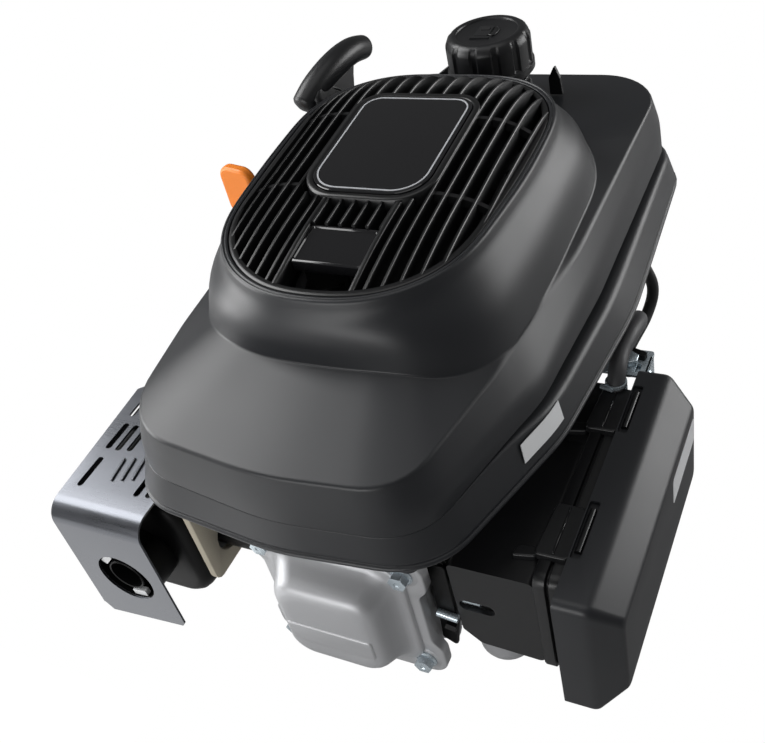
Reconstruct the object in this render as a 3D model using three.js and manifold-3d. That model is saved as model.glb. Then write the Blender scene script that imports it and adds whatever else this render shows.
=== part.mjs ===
// A small four-stroke petrol engine with a vertical crankshaft, as fitted to a lawn mower.
// Millimetres, +Z up. The origin is on the crankshaft axis in the plane of the mounting face.
// The cylinder points to -Y (front), the air cleaner is on +X and the muffler is on -X.
import * as THREE from 'three';
import { mergeVertices } from 'three/addons/utils/BufferGeometryUtils.js';
import Module from 'manifold-3d';

const wasm = await Module();
wasm.setup();

// ---------------------------------------------------------------- driving dimensions
const GAP = 0.3;                 // clearance between parts that touch
const CYLINDER_Z = 78;           // height of the cylinder axis above the mounting face
const BORE_R = 35;
const STROKE = 51;
const ROD_LENGTH = 86;
const CRANK_THROW = STROKE / 2;
const WRIST_Y = -Math.sqrt(ROD_LENGTH ** 2 - CRANK_THROW ** 2);   // wrist pin with the crank at 90 degrees
const DECK_Y = -134;             // face of the cylinder under the head gasket
const HEAD_FRONT_Y = -166;
const BOLT_X = 44.4;             // rocker cover bolts, half spacing across
const BOLT_Z = 40;               // rocker cover bolts, half spacing in height
const SHAFT_R = 11.1;            // 7/8 inch output shaft
const SHAFT_END_Z = -62;
const CAM = { x: -55, y: 31 };   // camshaft axis, 21 gear modules from the crankshaft
const CRANK_TEETH = 14;
const CAM_TEETH = 28;
const GEAR_MODULE = 3;
const CASE_SPLIT_Z = 40;         // joint between sump and crankcase
const CASE_TOP_Z = 126;
const LUG_RADIUS = 101.6;        // mounting bolts, half of an 8 inch bolt circle
const HOUSING_X = -8;            // the housings' centre line lies a little towards the muffler
const RIM_Z = 155;               // lower edge of the blower housing
const FOLD_Z = 181;              // split between blower housing and top cover
const WALL = 3;
const NECK = { x: 0, y: 141, top: 262 };
const DIPSTICK = { x: -144, y: 27 };
const HANDLE = { x: -98, y: 110 };
const LOFT_SIDES = 44;

// ---------------------------------------------------------------- materials
const finish = (color, roughness, metalness) => ({ color, roughness, metalness });
const CHARCOAL = finish(0x2c2e31, 0.55, 0);
const BLACK = finish(0x101113, 0.4, 0);
const SATIN_STEEL = finish(0x55585c, 0.4, 0.9);
const ZINC = finish(0xb9c4cc, 0.3, 0.9);
const CAST = finish(0xa9abad, 0.55, 0.7);
const IRON = finish(0x4a4a4a, 0.7, 0.6);
const STEEL = finish(0x8c8f93, 0.35, 0.9);
const RUBBER = finish(0x1a1a1a, 0.85, 0);
const ORANGE = finish(0xf07a10, 0.45, 0);
const GASKET = finish(0xc9c2ae, 0.8, 0);
const PAPER = finish(0xe6dcc0, 0.9, 0);
const CERAMIC = finish(0xf2f0ea, 0.3, 0);

// ---------------------------------------------------------------- solids
function solid(geometry) {
  const bare = geometry.index ? geometry.clone() : geometry;
  bare.deleteAttribute('normal');
  bare.deleteAttribute('uv');
  const merged = mergeVertices(bare, 1e-4);
  return new wasm.Manifold(new wasm.Mesh({
    numProp: 3,
    vertProperties: new Float32Array(merged.attributes.position.array),
    triVerts: new Uint32Array(merged.index.array),
  }));
}

function geometryOf(body) {
  const mesh = body.getMesh();
  const geometry = new THREE.BufferGeometry();
  geometry.setAttribute('position', new THREE.BufferAttribute(new Float32Array(mesh.vertProperties), 3));
  geometry.setIndex(new THREE.BufferAttribute(new Uint32Array(mesh.triVerts), 1));
  geometry.computeVertexNormals();
  return geometry;
}

const join = (...bodies) => bodies.reduce((all, body) => all.add(body));
const cut = (body, ...tools) => tools.reduce((rest, tool) => rest.subtract(tool), body);

function box(x0, x1, y0, y1, z0, z1) {
  const geometry = new THREE.BoxGeometry(x1 - x0, y1 - y0, z1 - z0);
  geometry.translate((x0 + x1) / 2, (y0 + y1) / 2, (z0 + z1) / 2);
  return solid(geometry);
}

// A straight round bar between two points, with an optional second radius at its far end.
function bar(from, to, radius, sides = 16, endRadius = radius) {
  const start = new THREE.Vector3(...from);
  const end = new THREE.Vector3(...to);
  const length = start.distanceTo(end);
  const geometry = new THREE.CylinderGeometry(endRadius, radius, length, sides);
  const direction = end.clone().sub(start).normalize();
  const turn = new THREE.Quaternion().setFromUnitVectors(new THREE.Vector3(0, 1, 0), direction);
  geometry.applyQuaternion(turn);
  geometry.translate(...start.add(end).multiplyScalar(0.5).toArray());
  return solid(geometry);
}

const post = (x, y, z0, z1, radius, sides) => bar([x, y, z0], [x, y, z1], radius, sides);

// A turned part about a vertical axis; the profile is a list of [radius, z].
function turned(profile, sides = 32, x = 0, y = 0) {
  const points = profile.map(([radius, z]) => new THREE.Vector2(radius, z));
  const closed = profile.some(([radius]) => radius === 0) ? points : [...points, points[0]];
  const geometry = new THREE.LatheGeometry(closed, sides);
  geometry.rotateX(Math.PI / 2);
  geometry.translate(x, y, 0);
  const body = solid(geometry);
  return body.volume() < 0 ? solid(flipped(geometry)) : body;
}

function flipped(geometry) {
  const copy = geometry.clone();
  const index = Array.from(copy.index.array);
  for (let i = 0; i < index.length; i += 3) {
    [index[i], index[i + 1]] = [index[i + 1], index[i]];
  }
  copy.setIndex(index);
  return copy;
}

// A flat plate with the outline [x, y], between two heights.
function plate(outline, z0, z1) {
  const shape = new THREE.Shape(outline.map(([x, y]) => new THREE.Vector2(x, y)));
  const geometry = new THREE.ExtrudeGeometry(shape, { depth: z1 - z0, bevelEnabled: false });
  geometry.translate(0, 0, z0);
  return solid(geometry);
}

// A plate seen from the side: outline [y, z], between two x positions.
function sidePlate(outline, x0, x1) {
  return plate(outline, x0, x1).transform([0, 1, 0, 0, 0, 0, 1, 0, 1, 0, 0, 0, 0, 0, 0, 1]);
}

// A plate seen from the front: outline [x, z], between two y positions.
function frontPlate(outline, y0, y1) {
  return plate(outline.map(([x, z]) => [x, -z]), y0, y1)
    .transform([1, 0, 0, 0, 0, 0, -1, 0, 0, 1, 0, 0, 0, 0, 0, 1]);
}

// A round tube or rod along a smooth curve through the given points.
function hose(points, radius, sides, steps) {
  const curve = new THREE.CatmullRomCurve3(points.map((p) => new THREE.Vector3(...p)));
  const section = new THREE.Shape();
  section.absarc(0, 0, radius, 0, 2 * Math.PI);
  const ring = new THREE.Shape(section.getSpacedPoints(sides).slice(0, sides));
  const geometry = new THREE.ExtrudeGeometry(ring, { extrudePath: curve, steps, bevelEnabled: false });
  const body = solid(geometry);
  return body.volume() < 0 ? solid(flipped(mergeVertices(geometry))) : body;
}

// ---------------------------------------------------------------- outlines
// The outline of a polygon whose corners [x, y, radius] are rounded; counterclockwise.
function rounded(corners, arcSteps = 4) {
  const outline = [];
  corners.forEach(([x, y, radius], i) => {
    const here = new THREE.Vector2(x, y);
    const before = new THREE.Vector2(...corners.at(i - 1)).sub(here).normalize();
    const after = new THREE.Vector2(...corners[(i + 1) % corners.length]).sub(here).normalize();
    const half = Math.acos(THREE.MathUtils.clamp(before.dot(after), -1, 1)) / 2;
    const centre = before.clone().add(after).normalize().multiplyScalar(radius / Math.sin(half)).add(here);
    const start = here.clone().addScaledVector(before, radius / Math.tan(half)).sub(centre).angle();
    const sweep = Math.PI - 2 * half;
    for (let k = 0; k <= arcSteps; k += 1) {
      const angle = start + (sweep * k) / arcSteps;
      outline.push([centre.x + radius * Math.cos(angle), centre.y + radius * Math.sin(angle)]);
    }
  });
  return outline;
}

const rectangle = (x0, x1, y0, y1, radius) => rounded([
  [x0, y0, radius], [x1, y0, radius], [x1, y1, radius], [x0, y1, radius],
], 3);

// Distance from the housings' centre to an outline at the given angle.
function reach(outline, angle) {
  const dx = Math.cos(angle);
  const dy = Math.sin(angle);
  let far = 0;
  outline.forEach(([x0, y0], i) => {
    const [x1, y1] = outline[(i + 1) % outline.length];
    const ax = x0 - HOUSING_X;
    const ex = x1 - x0;
    const ey = y1 - y0;
    const det = ex * dy - ey * dx;
    if (Math.abs(det) < 1e-9) return;
    const along = (ex * y0 - ey * ax) / det;
    const on = (dx * y0 - dy * ax) / det;
    if (along > 0 && on >= -1e-6 && on <= 1 + 1e-6) far = Math.max(far, along);
  });
  return far;
}

// One ring of a loft: the outline, drawn in by inset, at the height given for each y.
function ring(outline, height, inset = 0, scale = 1) {
  return Array.from({ length: LOFT_SIDES }, (_, i) => {
    const angle = (2 * Math.PI * i) / LOFT_SIDES;
    const r = (reach(outline, angle) - inset) * scale;
    const x = HOUSING_X + r * Math.cos(angle);
    const y = r * Math.sin(angle);
    return [x, y, typeof height === 'function' ? height(y) : height];
  });
}

// A closed body through rings. An open list gets flat caps; a looped one is a ring-shaped wall.
function loft(rings, looped = false) {
  const positions = rings.flat(2);
  const index = [];
  const last = looped ? rings.length : rings.length - 1;
  for (let k = 0; k < last; k += 1) {
    const a = k * LOFT_SIDES;
    const b = ((k + 1) % rings.length) * LOFT_SIDES;
    for (let i = 0; i < LOFT_SIDES; i += 1) {
      const j = (i + 1) % LOFT_SIDES;
      index.push(a + i, a + j, b + j, a + i, b + j, b + i);
    }
  }
  if (!looped) {
    const bottom = positions.length / 3;
    const top = bottom + 1;
    const first = rings[0];
    const final = rings.at(-1);
    positions.push(HOUSING_X, 0, average(first), HOUSING_X, 0, average(final));
    const offset = (rings.length - 1) * LOFT_SIDES;
    for (let i = 0; i < LOFT_SIDES; i += 1) {
      const j = (i + 1) % LOFT_SIDES;
      index.push(bottom, j, i, top, offset + i, offset + j);
    }
  }
  const geometry = new THREE.BufferGeometry();
  geometry.setAttribute('position', new THREE.Float32BufferAttribute(positions, 3));
  geometry.setIndex(index);
  return solid(geometry);
}

const average = (points) => points.reduce((sum, p) => sum + p[2], 0) / points.length;

// ---------------------------------------------------------------- the model
const engine = new THREE.Group();
engine.name = 'small_gasoline_engine';

function add(name, body, look, place = [0, 0, 0]) {
  const material = new THREE.MeshStandardMaterial(look);
  const mesh = new THREE.Mesh(geometryOf(body), material);
  mesh.name = name;
  mesh.position.set(...place);
  engine.add(mesh);
}

// ---- crankcase, sump and cylinder
const CASE_WALL = 6;
const caseOutline = (inset) => rounded([
  [-107 + inset, -18 + inset / 3, 50 - inset],
  [-63 + inset / 3, -68 + inset, 46 - inset],
  [66 - inset, -68 + inset, 51 - inset],
  [66 - inset, 70 - inset, 51 - inset],
  [-30, 84 - inset, 120],
  [-107 + inset, 84 - inset, 52 - inset],
]);
const CASE_OUTLINE = caseOutline(0);
const CASE_INSIDE = caseOutline(CASE_WALL);

function buildSump() {
  const lugs = [45, 135, 225, 315].map((degrees) => {
    const angle = THREE.MathUtils.degToRad(degrees);
    const x = LUG_RADIUS * Math.cos(angle);
    const y = LUG_RADIUS * Math.sin(angle);
    const arm = bar([x * 0.7, y * 0.7, 6], [x, y, 6], 6, 8);
    return { body: join(post(x, y, 0, 12, 13), arm), hole: post(x, y, -1, 13, 4.5, 12) };
  });
  const pan = cut(plate(CASE_OUTLINE, 0, CASE_SPLIT_Z), plate(CASE_INSIDE, 6, CASE_SPLIT_Z + 1));
  const bosses = join(post(0, 0, 0, 34, 28), post(CAM.x, CAM.y, 0, 20, 12));
  const shape = join(pan, bosses, ...lugs.map((lug) => lug.body));
  const bearingSeat = post(0, 0, 18, 35, 22.3, 20);
  const sealBore = post(0, 0, -1, 19, 14, 20);
  const camPocket = post(CAM.x, CAM.y, 8, 21, 7.4);
  return cut(shape, bearingSeat, sealBore, camPocket, ...lugs.map((lug) => lug.hole));
}

// The pushrods lean inwards from the tappets to the rockers.
const PUSHRODS = { exhaust: 60, intake: 96 };
const TAPPET_Y = CAM.y - 15;
const ROCKER_Y = -158.5;
const ROCKER_FACE_Y = ROCKER_Y + 1.5;
const LASH = 0.8;                // play between a rocker and what it pushes
const PUSHROD_END = { x: -37, y: ROCKER_FACE_Y + LASH };
const pushrodTunnel = (z, y0, y1) => {
  const slope = (PUSHROD_END.x - CAM.x) / (PUSHROD_END.y - TAPPET_Y);
  const at = (y) => [CAM.x + slope * (y - TAPPET_Y), y, z];
  return bar(at(y0), at(y1), 4, 12);
};

function buildCrankcase() {
  const bottom = CASE_SPLIT_Z + GAP;
  const body = plate(CASE_OUTLINE, bottom, CASE_TOP_Z);
  const barrel = bar([0, -40, CYLINDER_Z], [0, DECK_Y, CYLINDER_Z], BORE_R + 9, 20);
  const deck = frontPlate(rectangle(-49, 49, 32, 124, 10), DECK_Y, DECK_Y + 8);
  const fins = [0, 1, 2].map((i) => {
    const y = -86 - i * 13;
    return frontPlate(rectangle(-56, 56, 28, 124, 14), y - 3, y);
  });
  const posts = [[-72, -38], [46, -46], [46, 48], [-38, 62]]
    .map(([x, y]) => post(x, y, 120, RIM_Z + 2, 7, 8));
  const solidCase = join(body, barrel, deck, ...fins, ...posts, post(0, 0, 110, 140, 26, 20));
  return cut(
    solidCase,
    plate(CASE_INSIDE, bottom - 1, CASE_TOP_Z - 8),
    bar([0, -20, CYLINDER_Z], [0, DECK_Y - 1, CYLINDER_Z], BORE_R, 24),
    post(0, 0, 100, 131, 22.3, 20),
    post(0, 0, 130, 141, 16),
    box(-60, 60, -68 - GAP, 0, 0, bottom),
    post(CAM.x, CAM.y, 110, CASE_TOP_Z - 3, 7.4),
    pushrodTunnel(PUSHRODS.exhaust, -20, DECK_Y - 2),
    pushrodTunnel(PUSHRODS.intake, -20, DECK_Y - 2),
    bar([-90, 40, 112], [-120, 40, 112], 6, 12),
  );
}

function buildHeadGasket() {
  const y0 = DECK_Y - GAP - 0.8;
  const sheet = frontPlate(rectangle(-49, 49, 32, 124, 10), y0, DECK_Y - GAP);
  return cut(
    sheet,
    bar([0, y0 - 1, CYLINDER_Z], [0, DECK_Y + 1, CYLINDER_Z], BORE_R, 32),
    pushrodTunnel(PUSHRODS.exhaust, DECK_Y + 2, DECK_Y - 4),
    pushrodTunnel(PUSHRODS.intake, DECK_Y + 2, DECK_Y - 4),
  );
}

const HEAD_REAR_Y = DECK_Y - 2 * GAP - 0.8;
const CHAMBER_Y = HEAD_REAR_Y - 8;
const VALVE_X = 6;
const PORT_Y = -147;

const boltPlaces = [];
[['1', -1, 1], ['2', 1, 1], ['3', 1, -1], ['4', -1, -1]].forEach(([label, side, level]) => {
  boltPlaces.push({ label, x: side * BOLT_X, z: CYLINDER_Z + level * BOLT_Z });
});

function buildCylinderHead() {
  const block = frontPlate(rectangle(-50, 50, 30, 126, 12), HEAD_FRONT_Y, HEAD_REAR_Y);
  const fins = [0, 1].map((i) => {
    const y = -139 - i * 9;
    return frontPlate(rectangle(-57, 57, 25, 128, 14), y - 2.6, y);
  });
  const rockerRoom = frontPlate(rectangle(-45, 38, 50, 106, 10), HEAD_FRONT_Y - 1, -150);
  const pedestal = box(-20, -12, -154, -149, 72, 84);
  const seats = Object.values(PUSHRODS).map((z) => bar([VALVE_X, -140, z], [VALVE_X, -155, z], 3.1, 12));
  return cut(
    join(cut(join(block, ...fins), rockerRoom), pedestal, box(-20, -12, -161.5, -153, 74, 82)),
    bar([0, HEAD_REAR_Y + 1, CYLINDER_Z], [0, CHAMBER_Y, CYLINDER_Z], 33, 32),
    ...seats,
    pushrodTunnel(PUSHRODS.exhaust, DECK_Y, -155),
    pushrodTunnel(PUSHRODS.intake, DECK_Y, -155),
    bar([-16, ROCKER_Y, 50], [-16, ROCKER_Y, 106], 2.9, 12),
    bar([58, PORT_Y, CYLINDER_Z], [44, PORT_Y, CYLINDER_Z], 9, 16),
    bar([-58, PORT_Y, CYLINDER_Z], [-44, PORT_Y, CYLINDER_Z], 9, 16),
    post(-8, -143, 116, 130, 6.3, 16),
    ...boltPlaces.map(({ x, z }) => bar([x, HEAD_FRONT_Y - 1, z], [x, -152, z], 3.4, 10)),
  );
}

const COVER_FLANGE_Y = HEAD_FRONT_Y - GAP - 7;

function buildRockerCover() {
  const flange = frontPlate(rectangle(-52, 52, 29, 127, 12), COVER_FLANGE_Y, HEAD_FRONT_Y - GAP);
  const step = frontPlate(rectangle(-40, 40, 38, 118, 14), COVER_FLANGE_Y - 8, COVER_FLANGE_Y + 1);
  const front = frontPlate(rectangle(-28, 30, 46, 114, 14), COVER_FLANGE_Y - 23, COVER_FLANGE_Y - 7);
  const inside = frontPlate(rectangle(-36, 36, 44, 112, 12), COVER_FLANGE_Y - 5, HEAD_FRONT_Y + 1);
  const insideFront = frontPlate(rectangle(-25, 27, 49, 111, 12), COVER_FLANGE_Y - 20, COVER_FLANGE_Y - 3);
  return cut(
    join(flange, step, front),
    inside,
    insideFront,
    ...boltPlaces.map(({ x, z }) => bar([x, -180, z], [x, -160, z], 3.4, 10)),
  );
}

function buildBolt() {
  const top = COVER_FLANGE_Y - GAP;
  return join(
    bar([0, top, 0], [0, top - 1.8, 0], 6.4, 16),
    bar([0, top - 1.7, 0], [0, top - 6.5, 0], 4.9, 6),
    bar([0, top - 0.5, 0], [0, -153, 0], 3, 10),
  );
}

add('sump', buildSump(), CAST);
add('crankcase', buildCrankcase(), CAST);
add('head_gasket', buildHeadGasket(), GASKET);
add('cylinder_head', buildCylinderHead(), CAST);
add('rocker_cover', buildRockerCover(), CAST);
boltPlaces.forEach(({ label, x, z }) => add(`rocker_cover_bolt_${label}`, buildBolt(), ZINC, [x, 0, z]));

// ---- ignition
const PLUG = { x: -8, y: -143 };

function buildSparkPlug() {
  return turned([[0, 118], [5.8, 118], [5.8, 128.4], [9, 128.4], [9, 131.5], [8, 131.5], [8, 138],
    [5.5, 140], [5, 152], [3, 153], [3, 160], [0, 160]], 12, PLUG.x, PLUG.y);
}

function buildPlugCap() {
  const profile = [[0, 161], [5.8, 161], [5.8, 142], [8.5, 142], [8.5, 166], [0, 166]];
  const body = turned(profile, 14, PLUG.x, PLUG.y);
  return join(body, bar([PLUG.x, PLUG.y + 6, 163], [PLUG.x + 4, PLUG.y + 20, 163], 4, 10));
}

const COIL = { x: 30, y: -104, z: 172 };

function buildIgnitionCoil() {
  const core = box(COIL.x - 16, COIL.x + 16, -112, -101, 166, 178);
  const winding = bar([COIL.x, -111, 172], [COIL.x, -128, 172], 11, 16);
  const foot = box(COIL.x - 5, COIL.x + 5, -112, -104, 161, 170);
  return cut(join(core, winding, foot), post(0, 0, 150, 190, 90, 48));
}

add('spark_plug', buildSparkPlug(), CERAMIC);
add('spark_plug_cap', buildPlugCap(), RUBBER);
add('ignition_coil', buildIgnitionCoil(), BLACK);
add('ignition_lead', hose([
  [-3.9, -122.7, 163], [-3, -119, 163], [0, -114, 165], [6, -113, 170], [13.4, -116, 172],
  [17.4, -118, 172],
], 2.4, 8, 8), RUBBER);

// ---- crankshaft, gears and bearings
function gearOutline(teeth, phase) {
  const pitch = (teeth * GEAR_MODULE) / 2;
  const step = (2 * Math.PI) / teeth;
  const outline = [];
  for (let i = 0; i < teeth; i += 1) {
    const centre = phase + i * step;
    [[-0.29, -2.3], [-0.14, 1.7], [0.14, 1.7], [0.29, -2.3]].forEach(([turn, depth]) => {
      const angle = centre + turn * step;
      outline.push([(pitch + depth) * Math.cos(angle), (pitch + depth) * Math.sin(angle)]);
    });
  }
  return outline;
}

const MESH_ANGLE = Math.atan2(CAM.y, CAM.x);

function crankWeb(z0, z1) {
  const disc = post(0, 0, z0, z1, 42, 28);
  const waist = join(box(-2, 43, 25, 50, z0 - 1, z1 + 1), box(-2, 43, -50, -25, z0 - 1, z1 + 1));
  return cut(disc, waist);
}

function buildCrankshaftLower() {
  const shaft = turned([
    [0, SHAFT_END_Z], [SHAFT_R - 1, SHAFT_END_Z], [SHAFT_R, SHAFT_END_Z + 1], [SHAFT_R, 8],
    [12.5, 9], [12.5, 34.3], [15, 35], [15, 56.5], [0, 56.5],
  ], 24);
  const gear = plate(gearOutline(CRANK_TEETH, MESH_ANGLE), 44, 52);
  const keyway = box(SHAFT_R - 2.6, SHAFT_R + 2, -2.4, 2.4, SHAFT_END_Z + 4, SHAFT_END_Z + 44);
  const tapping = post(0, 0, SHAFT_END_Z - 1, SHAFT_END_Z + 28, 4.2, 12);
  return cut(join(shaft, gear, crankWeb(56, 69.7)), keyway, tapping);
}

function buildCrankshaftUpper() {
  const shaft = turned([
    [0, 98], [15, 98], [15, 117.3], [12.5, 118], [12.5, 150], [12, 157], [10, 184], [8, 184.5],
    [8, 204], [0, 204],
  ], 20);
  return join(shaft, crankWeb(86.3, 99.5));
}

function bearing(z0, z1) {
  return turned([[12.9, z0], [22, z0], [22, z1], [12.9, z1]], 20);
}

function cutHole(body, from, to, radius) {
  return cut(body, bar(from, to, radius, 20));
}

function buildConnectingRod() {
  const small = [0, WRIST_Y];
  const big = [CRANK_THROW, 0];
  const ends = join(post(small[0], small[1], 70, 86, 13, 18), post(big[0], big[1], 70.5, 85.5, 20, 22));
  const shank = bar([small[0], small[1] + 8, CYLINDER_Z], [big[0] - 3, big[1] - 12, CYLINDER_Z], 6.5, 8, 7.5);
  const bores = [post(small[0], small[1], 60, 96, 8.4, 16), post(big[0], big[1], 60, 96, 13.7, 20)];
  return cut(join(ends, shank), ...bores);
}

function buildPiston() {
  const crown = WRIST_Y - 22;
  const skirt = WRIST_Y + 16;
  const body = bar([0, skirt, CYLINDER_Z], [0, crown, CYLINDER_Z], BORE_R - 0.5, 24);
  const hollow = bar([0, skirt + 1, CYLINDER_Z], [0, crown + 7, CYLINDER_Z], BORE_R - 4.5, 20);
  const bosses = bar([0, WRIST_Y, CYLINDER_Z - 31.5], [0, WRIST_Y, CYLINDER_Z + 31.5], 12.5, 16);
  const rodRoom = box(-16, 16, WRIST_Y - 14, WRIST_Y + 20, 69, 87);
  return cutHole(
    join(cut(body, hollow), cut(bosses, rodRoom)),
    [0, WRIST_Y, CYLINDER_Z - 40], [0, WRIST_Y, CYLINDER_Z + 40], 8.3,
  );
}

const CAM_LIFT = 5.5;

function buildCamshaft() {
  const shaft = post(CAM.x, CAM.y, 9, CASE_TOP_Z - 4, 7, 14);
  const phase = MESH_ANGLE + Math.PI + Math.PI / CAM_TEETH;
  const gear = plate(gearOutline(CAM_TEETH, phase).map(([x, y]) => [x + CAM.x, y + CAM.y]), 44.5, 51.5);
  const windows = [0, 1, 2].map((i) => {
    const angle = (2 * i * Math.PI) / 3 + 0.3;
    return post(CAM.x + 24 * Math.cos(angle), CAM.y + 24 * Math.sin(angle), 40, 56, 8, 10);
  });
  const lobe = (z, angle) => {
    const nose = [CAM.x + CAM_LIFT * Math.cos(angle), CAM.y + CAM_LIFT * Math.sin(angle)];
    return join(post(CAM.x, CAM.y, z - 3.5, z + 3.5, 9, 16), post(nose[0], nose[1], z - 3.5, z + 3.5, 9, 16));
  };
  return join(cut(gear, ...windows), shaft, lobe(PUSHRODS.exhaust, 2.2), lobe(PUSHRODS.intake, 0.3));
}

add('lower_main_bearing', bearing(19, 34), STEEL);
add('upper_main_bearing', bearing(118.3, 130.6), STEEL);
add('crankshaft_lower', buildCrankshaftLower(), IRON);
add('crankshaft_upper', buildCrankshaftUpper(), IRON);
add('crankpin', post(CRANK_THROW, 0, 70, 86, 13.2, 20), STEEL);
add('connecting_rod', buildConnectingRod(), CAST);
add('piston', buildPiston(), CAST);
add('wrist_pin', bar([0, WRIST_Y, CYLINDER_Z - 30], [0, WRIST_Y, CYLINDER_Z + 30], 8, 20), STEEL);
add('camshaft', buildCamshaft(), IRON);

// ---- valve train
function buildPushrod(z) {
  const slope = (PUSHROD_END.x - CAM.x) / (PUSHROD_END.y - TAPPET_Y);
  const at = (y) => [CAM.x + slope * (y - TAPPET_Y), y, z];
  return join(bar(at(PUSHROD_END.y), at(TAPPET_Y - 4), 2.5, 10), bar(at(TAPPET_Y - 5), at(TAPPET_Y), 8, 12));
}

function buildValve(z) {
  const seat = CHAMBER_Y + GAP;
  return join(
    bar([VALVE_X, seat + 1.6, z], [VALVE_X, seat, z], 12.5, 18),
    bar([VALVE_X, seat + 0.5, z], [VALVE_X, ROCKER_FACE_Y + LASH, z], 2.7, 10),
  );
}

function buildRocker(z) {
  const arm = frontPlate(rectangle(-42, 11, z - 4, z + 4, 3.5), ROCKER_Y - 1.5, ROCKER_FACE_Y);
  const hub = bar([-16, ROCKER_Y, z - 6], [-16, ROCKER_Y, z + 6], 5.2, 12);
  return cutHole(join(arm, hub), [-16, ROCKER_Y, z - 8], [-16, ROCKER_Y, z + 8], 3);
}

Object.entries(PUSHRODS).forEach(([name, z]) => {
  add(`${name}_pushrod`, buildPushrod(z), STEEL);
  add(`${name}_valve`, buildValve(z), STEEL);
  add(`${name}_rocker`, buildRocker(z), STEEL);
});
add('rocker_shaft', bar([-16, ROCKER_Y, 51], [-16, ROCKER_Y, 105], 2.6, 12), STEEL);

// ---- flywheel and recoil starter
const FLYWHEEL_BLADES = 12;

function buildFlywheel() {
  const wheel = turned([
    [12.6, 160], [24, 160], [24, 165], [80, 168], [80, 163], [88, 163], [88, 184], [81, 184],
    [81, 174], [26, 171], [26, 183], [12.6, 183],
  ], 32);
  const bore = turned([[0, 150], [12.9, 150], [12.4, 157], [10.3, 184], [0, 184]], 20);
  const blades = Array.from({ length: FLYWHEEL_BLADES }, (_, i) => {
    const blade = box(52, 80.5, -1.2, 1.2, 168, 200);
    return blade.rotate([0, 0, 12]).rotate([0, 0, (360 * i) / FLYWHEEL_BLADES]);
  });
  return cut(join(wheel, ...blades), bore);
}

const ROPE_R = 2.2;
const GROOVE_R = 43;

function buildStarterPulley() {
  return turned([
    [7.4, 211], [50, 211], [50, 214], [GROOVE_R, 215.5], [GROOVE_R, 221.5], [50, 223],
    [50, 225], [7.4, 225],
  ], 24);
}

function buildStarterHousing() {
  const shell = turned([
    [0, 208], [7, 208], [7, 240], [50.5, 240], [50.5, 226], [53, 226], [53, 240], [72, 240],
    [72, 243], [0, 243],
  ], 28);
  const windows = Array.from({ length: 6 }, (_, i) => {
    const angle = (Math.PI * i) / 3 + 0.5;
    return post(62.5 * Math.cos(angle), 62.5 * Math.sin(angle), 235, 246, 6.5, 8);
  });
  const posts = [0, 120, 240].map((degrees) => {
    const angle = THREE.MathUtils.degToRad(degrees);
    return post(62 * Math.cos(angle), 62 * Math.sin(angle), 242, 254, 4, 8);
  });
  return join(cut(shell, ...windows), ...posts);
}

function buildRecoilSpring() {
  const steps = 48;
  const turns = 3.2;
  const outer = [];
  const inner = [];
  for (let i = 0; i <= steps; i += 1) {
    const angle = (2 * Math.PI * turns * i) / steps;
    const r = 11 + (35 * i) / steps;
    outer.push([(r + 0.8) * Math.cos(angle), (r + 0.8) * Math.sin(angle)]);
    inner.unshift([(r - 0.8) * Math.cos(angle), (r - 0.8) * Math.sin(angle)]);
  }
  return plate([...outer, ...inner], 227, 238);
}

const GRIP = { z: 268, half: 40 };

function buildStarterHandle() {
  const grip = hose([
    [HANDLE.x - 12, HANDLE.y - GRIP.half, GRIP.z - 9],
    [HANDLE.x - 5, HANDLE.y - 20, GRIP.z - 1],
    [HANDLE.x, HANDLE.y, GRIP.z + 2],
    [HANDLE.x + 2, HANDLE.y + 20, GRIP.z + 2],
    [HANDLE.x + 2, HANDLE.y + GRIP.half, GRIP.z - 4],
  ], 8.4, 10, 10);
  const stem = bar([HANDLE.x, HANDLE.y, 236], [HANDLE.x, HANDLE.y, GRIP.z], 6.5, 14, 8);
  return cut(join(grip, stem), post(HANDLE.x, HANDLE.y, 235, 250, ROPE_R + GAP, 10));
}

function buildStarterCup() {
  const cup = post(0, 0, 184.6, 206, 40, 24);
  return cut(cup, post(0, 0, 187, 207, 38, 24), post(0, 0, 180, 190, 8.4, 16));
}

add('flywheel', buildFlywheel(), IRON);
add('starter_cup', buildStarterCup(), STEEL);
add('starter_pulley', buildStarterPulley(), BLACK);
add('recoil_spring', buildRecoilSpring(), STEEL);
add('starter_housing', buildStarterHousing(), BLACK);
add('starter_handle', buildStarterHandle(), RUBBER);
add('starter_rope', post(HANDLE.x, HANDLE.y, 164, 249.5, ROPE_R, 8), RUBBER);

// ---- blower housing and top cover
const RIM = rounded([[-114, -191, 42], [-8, -203, 160], [80, -195, 44], [113, -90, 120], [123, 20, 260],
  [114, 197, 56], [-128, 197, 56], [-133, 0, 150], [-127, -90, 120]], 8);
const FOLD = rounded([[-111, -184, 46], [-8, -199, 160], [74, -192, 38], [104, -90, 100], [109, 0, 200],
  [107, 192, 52], [-122, 192, 52], [-125, 0, 200], [-122, -90, 100]], 8);
const CREASE = rounded([[-103, -188, 48], [-8, -201, 200], [68, -195, 34], [84, -100, 150], [95, 0, 200],
  [104, 190, 58], [-118, 190, 58], [-114, 0, 200], [-109, -100, 150]], 8);
const FOOT = rounded([[-106, -124, 64], [-8, -129, 300], [86, -124, 54], [93, -20, 300], [93, 110, 60],
  [-109, 110, 60], [-110, -20, 300]], 8);
const MOUTH = rounded([[-86, -113, 70], [-10, -118, 300], [62, -114, 62], [71, 0, 400], [68, 100, 55],
  [-94, 100, 55], [-95, 0, 400]], 8);
const rise = (front, rear) => (y) => front + ((rear - front) * (y + 200)) / 400;
const foldHeight = (y) => FOLD_Z - 4.5 * (1 - THREE.MathUtils.smoothstep(y, -190, -110));
const creaseHeight = rise(205, 224);
const footHeight = rise(221, 234);
const mouthHeight = rise(258, 270);

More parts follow.
